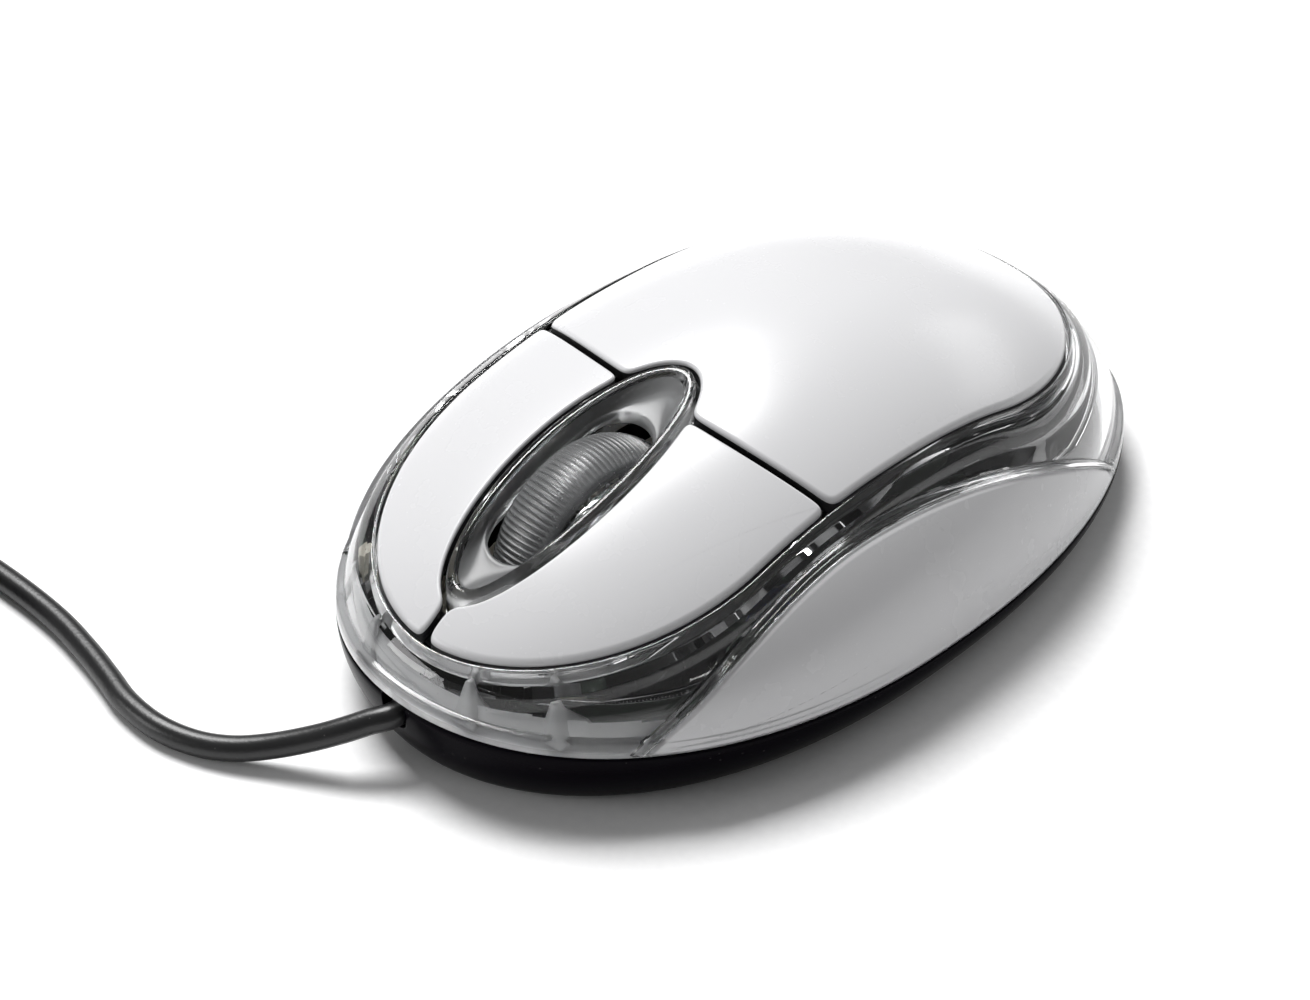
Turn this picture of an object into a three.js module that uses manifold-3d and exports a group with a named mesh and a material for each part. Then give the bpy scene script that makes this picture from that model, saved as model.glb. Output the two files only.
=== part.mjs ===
// A wired three-button optical mouse, in millimetres, +Z up, with its nose and cord towards -Y.
// The origin is on the desk, under the middle of the body.
import * as THREE from "three";
import { mergeVertices } from "three/addons/utils/BufferGeometryUtils.js";
import Module from "manifold-3d";

const wasm = await Module();
wasm.setup();

// ---------------------------------------------------------------- overall form
const LENGTH = 98;
const WIDTH = 61; // across the middle of the body
const NOSE_FLARE = 0.104; // share by which the plan widens at the nose and narrows at the tail
const NOSE_ROUND = 2.06; // exponents of the plan's superellipse: 2 is an ellipse, more is squarer
const TAIL_ROUND = 2.33;
const PEAK_HEIGHT = 31.5;
const PEAK_Y = 13;
const NOSE_DROP = 7.5; // how far the ridge line comes down towards each end
const TAIL_DROP = 7.1;
const CROWN = 2.45; // fullness of the dome from the ridge to the rim
const NOSE_PARTING = 8.6; // height of the black base at the two ends
const TAIL_PARTING = 4.8;

// ---------------------------------------------------------------- fits
const GAP = 0.3; // between pieces that touch
const SEAM = 0.8; // visible black line between the white covers
const BEYOND = 60; // long enough to cut through the whole body
const OVERREACH = 2; // how far a cutting shape passes the body's outline

// ---------------------------------------------------------------- shells
const BASE_WALL = 1.9;
const BASE_FLOOR = 1.8;
const BASE_INSET = 2.8; // of the underside from the rim
const BASE_STEPS = [0, 0.25, 0.55, 1]; // shares of the base's height where its side is bent
const FOOT_STAND = 0.6; // height of the base above the desk
const CLEAR_WALL = 2.4;
const LEDGE_WIDTH = 2.7; // clear ledge round the white covers
const LEDGE_STEP = 0.7;
const FLANGE_HEIGHT = 2.2; // thick lower edge of the clear body
const LIP_WIDTH = 1.5;
const LIP_UNDER = 4.4; // depth of the lip's underside below the skin
const LIP_FLOOR = 12.5; // lowest height of the lip
const COVER_SKIN = 1.6;
const DECK = 1.5; // clear deck under the rear cover
const KEY_FREE = 1.4; // room under the keys
const PANEL_SKIN = 1.1;
const PANEL_FRAME = 0.9; // clear frame round each side panel
const PANEL_TOP = 21.2;
const PANEL_Y = -4.5;
const PANEL_FRONT = 31.2; // reach of the side panel's arch ahead of and behind its middle
const PANEL_REAR = 39.6;
const PANEL_ARCH = 0.85;
const RIB = 1; // thickness of the clear ribs in the nose
const RIB_DEPTH = 2;
const RIB_PLACES = [-15, -7, 7, 15];

// ---------------------------------------------------------------- white top
const TOP_FRONT_Y = -19; // centres of the two half ellipses of the outline
const TOP_REAR_Y = 17;
const TOP_FRONT_WIDTH = 21.6;
const TOP_REAR_WIDTH = 20.8;
const TOP_FRONT_LENGTH = 26.4;
const TOP_REAR_LENGTH = 24.4;
const SEAM_RADIUS = 53.4; // arc between the keys and the rear cover
const SEAM_Y = -12.6;
const PIN_RADIUS = 1.2; // locating pins of the rear cover
const PIN_LENGTH = 3;
const PIN_PLACES = [[-12, 4], [12, 4], [-11, 27], [11, 27]];

// ---------------------------------------------------------------- keys and switches
const KEY_PIVOT_Y = -2.5;
const KEY_TAB_FROM = 6; // the flexing tab of each key, across
const KEY_TAB_TO = 14;
const SWITCH_X = 13.5;
const SWITCH_Y = -25.1;
const SWITCH_SIZE = [5.8, 12.8, 6.2];
const PLUNGER_SIZE = [1.6, 3, 1.8];
const PLUNGER_Y = -27.5;
const PLUNGER_RISE = 0.7; // above the switch body
const PLUNGER_SINK = 0.8; // free depth under the plunger
const KEY_POST = 1.5; // radius
const TACT_X = 10.2;
const TACT_Y = -34.7;
const TACT_SIZE = [5.6, 5.6, 3.1];
const TACT_BUTTON = 1.6; // radius
const TACT_RISE = 0.8;

// ---------------------------------------------------------------- wheel
const WHEEL_Y = -22;
const WHEEL_Z = 15.3;
const WHEEL_RADIUS = 12;
const WHEEL_WIDTH = 6.6;
const WHEEL_CROWN = 0.8;
const TYRE_DEPTH = 2.4;
const RIM_DEPTH = 1.4;
const WEB = 1.6;
const WEB_SLOTS = 12;
const WEB_SLOT = 1.3;
const WEB_SLOT_LENGTH = 2.6;
const HUB_BOSS = 2.4; // radius
const HUB_BOSS_REACH = 4.1;
const AXLE_RADIUS = 1.2;
const AXLE_REACH = 6.9;
const BEZEL_Y = -24.5;
const BEZEL_WIDTH = 6.3; // half sizes of the bezel's ellipse
const BEZEL_LENGTH = 16.8;
const BEZEL_RIM = 1.2;
const BEZEL_DISH = 1.9;
const BEZEL_SKIN = 1.4;
const BEZEL_SKIRT = 4;
const BEZEL_GAP = 0.6;
const WHEEL_SIDE_CLEARANCE = 0.6;
const WHEEL_END_CLEARANCE = 1.5;

// ---------------------------------------------------------------- wheel cradle
const ARM_X = 4.8; // inner face of each arm
const ARM_WIDTH = 1.4;
const CRADLE_PIVOT_Y = -7.5;
const CRADLE_PIVOT_Z = 15;
const CRADLE_FRONT_Y = -37.4;
const CRADLE_BAR = 1.9;
const TRUNNION_RADIUS = 1.2;
const TRUNNION_POST = [2.8, 4.4];
const TRUNNION_CLEARANCE = 0.8; // from arm to post
const TAB_WIDTH = 2.4;
const TAB_THICK = 1.4;
const WIRE = 0.35; // radius of the spring wire
const STRIP = 0.4; // thickness of the lift spring
const PRESS_ROOM = 0.8; // under the cradle's front bar, for the press of the wheel

// ---------------------------------------------------------------- circuit board
const BOARD_Z = 7.2;
const BOARD = 1.6;
const BOARD_HALF_WIDTH = 21.5;
const BOARD_FRONT_Y = -38;
const BOARD_REAR_Y = 19;
const BOARD_CORNER = 7;
const BOARD_NOSE_WIDTH = 16.5;
const BOARD_SLOT = 0.5; // clearance round the cradle
const CONNECTOR_PLACE = [-12.6, -36.1];
const CONNECTOR_SIZE = [7.4, 3.6, 3.2];
const CONNECTOR_WALL = 0.7;
const CONNECTOR_FLOOR = 1;
const LEADS_RADIUS = 0.9; // of the four cores together
const LEADS_TOP = 10.8; // where they pass over the connector's wall
const POST_PLACES = [[-17.5, 13], [17.5, 13]];
const POST_RADIUS = 3;
const SCREW_RADIUS = 1.2;
const SCREW_HEAD = 2.5;
const SCREW_HEAD_HEIGHT = 1.4;
const BOARD_SCREW_LENGTH = 4;
const CHIP_STAND = 0.6; // height of a chip's body above the board
const LEG_REACH = 0.8; // of a chip's legs past its sides
const LEG_ROOT = 0.5; // of the legs under the body
const LEG_WIDTH = 0.5;
const LEG_THICK = 0.3;
const INFRARED_SIZE = [2.2, 4.4, 4.6];
const INFRARED_AWAY = 2.4; // from the cradle's arm to the part's middle
const EYE_RADIUS = 1.1;
const EYE_LENGTH = 1;

// ---------------------------------------------------------------- optics
const SENSOR_Y = 2;
const SENSOR_SIZE = [9.9, 9.1, 3];
const LENS_SIZE = [13, 17, 3.6];
const LENS_WINDOW = [7, 6];
const LED_Y = 12.5;
const LED_RADIUS = 2.5;
const LED_LENGTH = 5.4;
const LED_Z = 12.4;
const LED_FLANGE = 2.9; // radius
const LED_FOOT = 1; // length of the flange
const CLIP_WALL = 1.1;
const CLIP_ROOM = 1.2;
const CLIP_HEIGHT = 7.8;

// ---------------------------------------------------------------- case screw and feet
const CASE_SCREW_Y = 33;
const CASE_BOSS = 3.4;
const CASE_SEAT_Z = 4.6; // where the screw head rests
const CASE_BOSS_Z = 8.4; // where the base's boss meets the clear body's
const CASE_SCREW_LENGTH = 11;
const FOOT_LENGTH = 13;
const FOOT_WIDTH = 5;
const FOOT_THICK = 0.9;
const FOOT_PLACES = { front: [11, -35.5], rear: [11, 33.5] };

// ---------------------------------------------------------------- cord
const CORD = 2.8; // diameter
const CORD_X = -1;
const CORD_Z = 6.7;
const CORD_CLEARANCE = 0.35;
const RELIEF_RADIUS = 2.4;
const RELIEF_LENGTH = 5;
const NOSE_Y = -LENGTH / 2;
const RELIEF_BACK_Y = NOSE_Y + 8.4;
const FLOOR_Z = CORD / 2 + 0.05; // centre of the cord where it lies on the desk
const ROUTE = [
  [CORD_X, NOSE_Y - 0.3, CORD_Z],
  [-2.3, NOSE_Y - 2, 6.2],
  [-4.1, NOSE_Y - 4.2, 5.2],
  [-6.6, NOSE_Y - 6.6, 3.9],
  [-9.8, NOSE_Y - 9.4, 2.6],
  [-13, NOSE_Y - 11.9, FLOOR_Z + 0.35],
  [-16.7, NOSE_Y - 13.8, FLOOR_Z],
  [-21.3, NOSE_Y - 14.9, FLOOR_Z],
  [-26.5, NOSE_Y - 14.6, FLOOR_Z],
  [-30.5, NOSE_Y - 13.5, FLOOR_Z],
  [-35.5, NOSE_Y - 12.2, FLOOR_Z],
  [-42, NOSE_Y - 11, FLOOR_Z],
  [-50, NOSE_Y - 10.6, FLOOR_Z],
  [-60, NOSE_Y - 10.9, FLOOR_Z],
  [-70, NOSE_Y - 11.7, FLOOR_Z],
];
const COIL_RADIUS = 15.5; // of the middle turn
const COIL_ACROSS = 3; // turns side by side
const COIL_LAYERS = 4;
const COIL_OUTER = COIL_RADIUS + (COIL_ACROSS * CORD) / 2;
const COIL_CENTRE = [-74, ROUTE.at(-1)[1] - COIL_OUTER - CORD / 2 - 0.2];
const TIE_WIDTH = 5;
const TIE_THICK = 0.8;
const TAIL_Y = COIL_CENTRE[1] - COIL_OUTER - CORD / 4;
const TAIL_ROUTE = [
  [-67, TAIL_Y, (COIL_LAYERS - 0.5) * CORD - 0.8],
  [-61, TAIL_Y - 1.3, 7],
  [-55, TAIL_Y - 2.2, 5.1],
  [-50, TAIL_Y - 2.6, 4.3],
  [-46, TAIL_Y - 2.6, 4.2],
];
const PLUG_NECK = 6;
const PLUG_NECK_RADIUS = 2.4;
const PLUG_GRIP = [18, 11.4, 7.6];
const PLUG_SHELL = [14, 12, 4.5];
const PLUG_SHELL_SKIN = 0.35;
const PLUG_TONGUE = [11, 10.2, 1.7];

// ================================================================ solids
function solid(geometry) {
  const plain = geometry.clone();
  plain.deleteAttribute("normal");
  plain.deleteAttribute("uv");
  const merged = mergeVertices(plain, 1e-4);
  const vertProperties = merged.attributes.position.array;
  const triVerts = new Uint32Array(merged.index.array);
  return new wasm.Manifold(new wasm.Mesh({ numProp: 3, vertProperties, triVerts }));
}

function surface(body) {
  const mesh = body.getMesh();
  const geometry = new THREE.BufferGeometry();
  geometry.setAttribute("position", new THREE.BufferAttribute(mesh.vertProperties, 3));
  geometry.setIndex(new THREE.BufferAttribute(mesh.triVerts, 1));
  geometry.computeVertexNormals();
  return geometry;
}

function join(bodies) {
  return bodies.reduce((whole, body) => whole.add(body));
}

function block([x0, x1], [y0, y1], [z0, z1]) {
  const box = new THREE.BoxGeometry(x1 - x0, y1 - y0, z1 - z0);
  return solid(box.translate((x0 + x1) / 2, (y0 + y1) / 2, (z0 + z1) / 2));
}

// A block of a given size, centred in plan on (x, y), standing at z.
function standing([width, length, height], x, y, z) {
  return block([x - width / 2, x + width / 2], [y - length / 2, y + length / 2], [z, z + height]);
}

// A cylinder from one point along an axis, "x", "y" or "z".
function rod(axis, radius, from, length, sides = 20) {
  const cylinder = new THREE.CylinderGeometry(radius, radius, length, sides).translate(0, length / 2, 0);
  if (axis === "x") cylinder.rotateZ(-Math.PI / 2);
  if (axis === "z") cylinder.rotateX(Math.PI / 2);
  return solid(cylinder.translate(...from));
}

// A plan outline carried straight up.
function plan(shape, z0 = -BEYOND, z1 = BEYOND, curveSegments = 8) {
  const options = { depth: z1 - z0, bevelEnabled: false, curveSegments };
  return solid(new THREE.ExtrudeGeometry(shape, options).translate(0, 0, z0));
}

// A side outline, drawn in y and z, carried across from x0 to x1.
function profile(shape, x0, x1, curveSegments = 8) {
  const options = { depth: x1 - x0, bevelEnabled: false, curveSegments };
  const across = new THREE.Matrix4().makeBasis(
    new THREE.Vector3(0, 1, 0),
    new THREE.Vector3(0, 0, 1),
    new THREE.Vector3(1, 0, 0),
  );
  return solid(new THREE.ExtrudeGeometry(shape, options).applyMatrix4(across).translate(x0, 0, 0));
}

function polygon(points) {
  return new THREE.Shape(points.map(([u, v]) => new THREE.Vector2(u, v)));
}

function tube(points, radius, steps, sides = 8) {
  const section = new THREE.Shape();
  for (let i = 0; i < sides; i++) {
    const turn = ((i + 0.5) * 2 * Math.PI) / sides;
    const corner = [radius * Math.cos(turn), radius * Math.sin(turn)];
    if (i === 0) section.moveTo(...corner);
    else section.lineTo(...corner);
  }
  section.closePath();
  const extrudePath = new THREE.CatmullRomCurve3(points.map((p) => new THREE.Vector3(...p)));
  return solid(new THREE.ExtrudeGeometry(section, { steps, bevelEnabled: false, extrudePath }));
}

function roundedBar(width, height, radius) {
  const shape = new THREE.Shape();
  const [x, y] = [width / 2 - radius, height / 2 - radius];
  shape.absarc(x, y, radius, 0, Math.PI / 2);
  shape.absarc(-x, y, radius, Math.PI / 2, Math.PI);
  shape.absarc(-x, -y, radius, Math.PI, 1.5 * Math.PI);
  shape.absarc(x, -y, radius, 1.5 * Math.PI, 2 * Math.PI);
  return shape;
}

// ================================================================ the body's surface
const HALF_LENGTH = LENGTH / 2;
const STATIONS = 36; // points round the rim
const LEVELS = 7; // rings from the rim to the ridge
const LAST_LEVEL = 0.95; // the topmost ring, as a share of the quarter turn

function halfWidth(y) {
  return (WIDTH / 2) * (1 - (NOSE_FLARE * y) / HALF_LENGTH);
}

function parting(y) {
  return TAIL_PARTING + (NOSE_PARTING - TAIL_PARTING) * ((1 - y / HALF_LENGTH) / 2) ** 2;
}

function ridge(y) {
  const ahead = y < PEAK_Y;
  const share = ahead ? (PEAK_Y - y) / (HALF_LENGTH + PEAK_Y) : (y - PEAK_Y) / (HALF_LENGTH - PEAK_Y);
  return PEAK_HEIGHT - (ahead ? NOSE_DROP : TAIL_DROP) * share ** 2;
}

// Height of the skin, set in by a depth, over a point of the plan.
function skinHeight(x, y, depth = 0) {
  const round = y < 0 ? NOSE_ROUND : TAIL_ROUND;
  const across = Math.abs(x) / (halfWidth(y) - depth);
  const along = Math.abs(y) / (HALF_LENGTH - depth);
  const reach = (across ** round + along ** round) ** (1 / round);
  const rise = Math.max(0, 1 - reach ** 2) ** (1 / CROWN);
  return parting(y) + (ridge(y) - depth - parting(y)) * rise;
}

// The plan outline, set in and scaled, as a ring of points from the nose round by +X.
function planRing(depth, scale, height) {
  return Array.from({ length: STATIONS }, (_, i) => {
    const turn = (2 * Math.PI * i) / STATIONS - Math.PI / 2;
    const [u, v] = [Math.cos(turn), Math.sin(turn)];
    const power = 2 / (v < 0 ? NOSE_ROUND : TAIL_ROUND);
    const y = scale * (HALF_LENGTH - depth) * Math.sign(v) * Math.abs(v) ** power;
    const x = scale * (halfWidth(y) - depth) * Math.sign(u) * Math.abs(u) ** power;
    return [x, y, height(x, y)];
  });
}

// A closed skin over a stack of rings. Each ring is mirrored about x = 0, so its cap is a ladder
// of quads between opposite points.
function loft(rings) {
  const count = rings[0].length;
  const index = [];
  const quad = (a, b, c, d) => index.push([a, b, c], [a, c, d]);
  for (let r = 0; r + 1 < rings.length; r++)
    for (let i = 0; i < count; i++) {
      const [a, b] = [r * count + i, r * count + ((i + 1) % count)];
      quad(a, b, b + count, a + count);
    }
  const top = (rings.length - 1) * count;
  for (let i = 0; i < count / 2; i++) {
    const [a, b, c, d] = [i, i + 1, count - i - 1, (count - i) % count];
    quad(d, c, b, a);
    quad(top + a, top + b, top + c, top + d);
  }
  const faces = index.filter(([a, b, c]) => a !== b && b !== c && c !== a);
  const geometry = new THREE.BufferGeometry();
  geometry.setAttribute("position", new THREE.Float32BufferAttribute(rings.flat(2), 3));
  geometry.setIndex(faces.flat());
  return solid(geometry);
}

// Everything under the skin, set in by a depth, down to the parting line.
const domes = new Map();
function dome(depth) {
  if (!domes.has(depth)) {
    const rings = Array.from({ length: LEVELS + 1 }, (_, level) => {
      const lift = (LAST_LEVEL * level * Math.PI) / (2 * LEVELS);
      const rise = Math.sin(lift) ** (2 / CROWN);
      const height = (x, y) => parting(y) + (ridge(y) - depth - parting(y)) * rise;
      return planRing(depth, Math.cos(lift), height);
    });
    domes.set(depth, loft(rings));
  }
  return domes.get(depth);
}


// Everything below the parting line, raised by a height.
function belowParting(height) {
  const bottom = planRing(-OVERREACH, 1, () => -OVERREACH);
  return loft([bottom, planRing(-OVERREACH, 1, (x, y) => parting(y) + height)]);
}

// The skin between two depths, down to just above the base.
function layer(outer, inner) {
  return dome(outer).subtract(dome(inner)).subtract(belowParting(GAP));
}

// ================================================================ outlines
function topOutline(grow) {
  const shape = new THREE.Shape();
  const [front, rear] = [TOP_FRONT_WIDTH + grow, TOP_REAR_WIDTH + grow];
  shape.absellipse(0, TOP_FRONT_Y, front, TOP_FRONT_LENGTH + grow, Math.PI, 2 * Math.PI);
  shape.absellipse(0, TOP_REAR_Y, rear, TOP_REAR_LENGTH + grow, 0, Math.PI);
  shape.closePath();
  return shape;
}

// Everything behind the arc of the seam, moved back by a distance.
function behindSeam(back) {
  const radius = SEAM_RADIUS - back;
  const centre = SEAM_Y + SEAM_RADIUS;
  const shape = new THREE.Shape();
  shape.absarc(0, centre, radius, 1.25 * Math.PI, 1.75 * Math.PI);
  shape.lineTo(BEYOND, centre + BEYOND);
  shape.lineTo(-BEYOND, centre + BEYOND);
  shape.closePath();
  return plan(shape, -BEYOND, BEYOND, 8);
}

function bezelOutline(grow) {
  const shape = new THREE.Shape();
  shape.absellipse(0, BEZEL_Y, BEZEL_WIDTH + grow, BEZEL_LENGTH + grow, 0, 2 * Math.PI);
  return plan(shape, -BEYOND, BEYOND, 12);
}

// The arch of a side panel, seen from the side, on the side +1 or -1.
function panelArch(grow, side) {
  const [front, rear] = [PANEL_FRONT + grow, PANEL_REAR + grow];
  const count = 14;
  const points = [[PANEL_Y + rear, 0], [PANEL_Y - front, 0]];
  for (let i = 0; i <= 2 * count; i++) {
    const turn = (Math.PI * (i / count - 1)) / 2;
    const y = PANEL_Y + (turn < 0 ? front : rear) * Math.sin(turn);
    const rise = Math.cos(turn) ** (2 * PANEL_ARCH);
    points.push([y, parting(y) + (PANEL_TOP + grow - parting(y)) * rise]);
  }
  const inner = WIDTH / 6;
  return side > 0 ? profile(polygon(points), inner, BEYOND) : profile(polygon(points), -BEYOND, -inner);
}

// ================================================================ shells
const SIDES = { left: 1, right: -1 }; // the mouse's own sides: its left is +X
const BASE_Z = FOOT_STAND;
const FLOOR_TOP = BASE_Z + BASE_FLOOR;
const BOARD_TOP = BOARD_Z + BOARD;
const BOARD_SEAT = BOARD_TOP + GAP;
const COVER_POCKET = COVER_SKIN + GAP;
const DECK_UNDER = COVER_POCKET + DECK;
const DECK_FRONT_Y = KEY_PIVOT_Y + 3;
const SWITCH_TOP = BOARD_SEAT + SWITCH_SIZE[2];
const PLUNGER_TOP = SWITCH_TOP + PLUNGER_RISE;
const TACT_TOP = BOARD_SEAT + TACT_SIZE[2];

function ahead(y) {
  return block([-BEYOND, BEYOND], [-BEYOND, y], [-BEYOND, BEYOND]);
}

function clearBody() {
  const outline = (grow) => plan(topOutline(grow));
  const frames = panelArch(PANEL_FRAME, 1).add(panelArch(PANEL_FRAME, -1));
  const flush = join([outline(LEDGE_WIDTH), belowParting(FLANGE_HEIGHT), frames]);
  const skin = dome(LEDGE_STEP).add(dome(0).intersect(flush));
  const thick = skin.intersect(plan(topOutline(LEDGE_WIDTH), LIP_FLOOR)).subtract(dome(LIP_UNDER));
  const opening = outline(-LIP_WIDTH).intersect(ahead(DECK_FRONT_Y));
  const keyPocket = outline(GAP).intersect(ahead(DECK_FRONT_Y)).subtract(dome(COVER_SKIN + KEY_FREE));
  const coverPocket = outline(GAP).subtract(dome(COVER_POCKET)).subtract(ahead(DECK_FRONT_Y));
  const underDeck = outline(-LIP_WIDTH).subtract(ahead(DECK_FRONT_Y)).intersect(dome(DECK_UNDER));
  const coverFront = outline(GAP).intersect(behindSeam(0)).subtract(dome(COVER_POCKET));
  let body = skin.subtract(dome(CLEAR_WALL)).add(thick).add(noseRibs());
  body = body.subtract(join([opening, keyPocket, coverPocket, underDeck, coverFront]));
  for (const side of Object.values(SIDES))
    body = body.subtract(panelArch(GAP, side).subtract(dome(PANEL_SKIN + GAP)));
  body = body.subtract(belowParting(GAP)).add(caseColumn());
  const pilot = rod("z", SCREW_RADIUS + GAP, [0, CASE_SCREW_Y, 0], CASE_SEAT_Z + CASE_SCREW_LENGTH);
  return body.subtract(pilot).subtract(pinHoles());
}

function noseRibs() {
  const band = layer(LEDGE_STEP, CLEAR_WALL + RIB_DEPTH).subtract(plan(topOutline(0)));
  const ribs = RIB_PLACES.map((x) =>
    block([x - RIB / 2, x + RIB / 2], [-BEYOND, TOP_FRONT_Y * 2], [0, BEYOND]),
  );
  return join(ribs).intersect(band);
}

function caseColumn() {
  const from = CASE_BOSS_Z + GAP;
  const length = skinHeight(0, CASE_SCREW_Y) - from;
  return rod("z", CASE_BOSS, [0, CASE_SCREW_Y, from], length).intersect(dome(DECK_UNDER - DECK / 2));
}

function pinHoles() {
  return join(PIN_PLACES.map(([x, y]) => rod("z", PIN_RADIUS + GAP, [x, y, HALF_LENGTH / 4], BEYOND)));
}

// The base's side, set in by a depth, at a share of its height. It curves in toward the desk.
function baseRing(depth, share) {
  const height = (x, y) => BASE_Z + share * (parting(y) - BASE_Z);
  return planRing(depth + BASE_INSET * (1 - share) ** 2, 1, height);
}

function baseShell() {
  const outside = loft(BASE_STEPS.map((share) => baseRing(0, share)));
  const [, low, ...upper] = BASE_STEPS;
  const floor = baseRing(BASE_WALL, low).map(([x, y]) => [x, y, FLOOR_TOP]);
  const sides = upper.map((share) => baseRing(BASE_WALL, share));
  const inside = loft([floor, ...sides, planRing(BASE_WALL, 1, () => BEYOND)]);
  const boardPosts = POST_PLACES.map(([x, y]) =>
    rod("z", POST_RADIUS, [x, y, FLOOR_TOP - GAP], BOARD_Z - FLOOR_TOP),
  );
  const boss = rod("z", CASE_BOSS + GAP, [0, CASE_SCREW_Y, BASE_Z + GAP], CASE_BOSS_Z - BASE_Z - GAP);
  const saddle = standing([RELIEF_RADIUS * 2, 3, CORD_Z - RELIEF_RADIUS - FLOOR_TOP],
    CORD_X, RELIEF_BACK_Y - RELIEF_LENGTH / 2, FLOOR_TOP - GAP);
  const solids = [outside.subtract(inside), ...boardPosts, boss, saddle, ...trunnionPosts()];
  const pilots = POST_PLACES.map(([x, y]) =>
    rod("z", SCREW_RADIUS + GAP, [x, y, BOARD_Z - BOARD_SCREW_LENGTH], BOARD_SCREW_LENGTH + GAP),
  );
  const window = standing([LENS_WINDOW[0], LENS_WINDOW[1], FLOOR_TOP], 0, SENSOR_Y, 0);
  const shank = rod("z", SCREW_RADIUS + GAP, [0, CASE_SCREW_Y, 0], CASE_BOSS_Z + GAP);
  const head = rod("z", SCREW_HEAD + GAP, [0, CASE_SCREW_Y, 0], CASE_SEAT_Z - GAP);
  return join(solids).subtract(join([...pilots, window, shank, head, cordNotch(), ...footRecesses()]));
}

// The cord passes through the nose of the base in a notch that the clear body closes.
function cordNotch() {
  const radius = CORD / 2 + CORD_CLEARANCE;
  const from = [CORD_X, -HALF_LENGTH - 1, CORD_Z];
  const slot = block([CORD_X - radius, CORD_X + radius], [from[1], RELIEF_BACK_Y], [CORD_Z, BEYOND]);
  return rod("y", radius, from, RELIEF_BACK_Y - from[1]).add(slot);
}

function footRecesses() {
  return feet().map(({ x, y }) => footPad(x, y, GAP, -1, FOOT_THICK + GAP));
}

function feet() {
  return Object.entries(FOOT_PLACES).flatMap(([end, [x, y]]) =>
    Object.entries(SIDES).map(([side, sign]) => ({ name: `foot_${end}_${side}`, x: sign * x, y })),
  );
}

function footPad(x, y, grow, z0, z1) {
  const shape = roundedBar(FOOT_LENGTH + 2 * grow, FOOT_WIDTH + 2 * grow, FOOT_WIDTH / 2 + grow - 0.01);
  return plan(shape, z0, z1, 5).translate([x, y, 0]);
}

function rearCover() {
  const covered = plan(topOutline(0)).intersect(behindSeam(SEAM / 2)).subtract(bezelOutline(BEZEL_GAP));
  const pins = PIN_PLACES.map(([x, y]) => {
    const top = skinHeight(x, y, COVER_SKIN / 2);
    return rod("z", PIN_RADIUS, [x, y, top - PIN_LENGTH - COVER_SKIN], PIN_LENGTH + COVER_SKIN, 12);
  });
  return layer(0, COVER_SKIN).intersect(covered).add(join(pins));
}

function sidePanel(side) {
  return layer(0, PANEL_SKIN).intersect(panelArch(0, side)).subtract(belowParting(GAP));
}

// ================================================================ keys and switches
function key(side) {
  const half = (a, b) => (side > 0 ? [a, b] : [-b, -a]);
  const place = plan(topOutline(0))
    .intersect(block(half(SEAM / 2, BEYOND), [-BEYOND, BEYOND], [0, BEYOND]))
    .subtract(behindSeam(-SEAM / 2))
    .subtract(bezelOutline(BEZEL_GAP));
  const plate = layer(0, COVER_SKIN).intersect(place);
  const tabBand = half(KEY_TAB_FROM, KEY_TAB_TO);
  const root = SEAM_Y - SEAM;
  const tab = layer(COVER_POCKET, COVER_POCKET + DECK).intersect(block(tabBand, [root, KEY_PIVOT_Y], [0, BEYOND]));
  const neck = layer(COVER_SKIN / 2, COVER_POCKET + DECK)
    .intersect(block(tabBand, [root - 2, root + GAP], [0, BEYOND]));
  const from = PLUNGER_TOP + GAP;
  const x = side * SWITCH_X;
  const top = skinHeight(x, PLUNGER_Y, COVER_SKIN / 2);
  const post = rod("z", KEY_POST, [x, PLUNGER_Y, from], top - from, 12);
  return join([plate, tab, neck, post]).subtract(bezelOutline(BEZEL_GAP));
}

function switchBody(side) {
  const body = standing(SWITCH_SIZE, side * SWITCH_X, SWITCH_Y, BOARD_SEAT);
  const [width, length] = PLUNGER_SIZE.map((size) => size + 2 * GAP);
  const floor = PLUNGER_TOP - PLUNGER_SIZE[2] - PLUNGER_SINK;
  return body.subtract(standing([width, length, PLUNGER_SIZE[2] * 2], side * SWITCH_X, PLUNGER_Y, floor));
}

function switchPlunger(side) {
  return standing(PLUNGER_SIZE, side * SWITCH_X, PLUNGER_Y, PLUNGER_TOP - PLUNGER_SIZE[2]);
}

function tactBody() {
  const hole = rod("z", TACT_BUTTON + GAP, [TACT_X, TACT_Y, TACT_TOP - 2 * TACT_RISE], BEYOND);
  return standing(TACT_SIZE, TACT_X, TACT_Y, BOARD_SEAT).subtract(hole);
}

function tactPlunger() {
  return rod("z", TACT_BUTTON, [TACT_X, TACT_Y, TACT_TOP - TACT_RISE + GAP / 2], 2 * TACT_RISE - GAP / 2);
}

// ================================================================ wheel
function wheelTyre() {
  const inner = WHEEL_RADIUS - TYRE_DEPTH;
  const half = WHEEL_WIDTH / 2;
  const crown = Array.from({ length: 5 }, (_, i) => {
    const share = i / 2 - 1;
    return new THREE.Vector2(WHEEL_RADIUS - WHEEL_CROWN * share ** 2, half * share);
  });
  const section = [new THREE.Vector2(inner, -half), ...crown, new THREE.Vector2(inner, half)];
  section.push(section[0].clone());
  return new THREE.LatheGeometry(section, 30).rotateZ(-Math.PI / 2);
}

function hubRim() {
  return WHEEL_RADIUS - TYRE_DEPTH - GAP;
}

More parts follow.
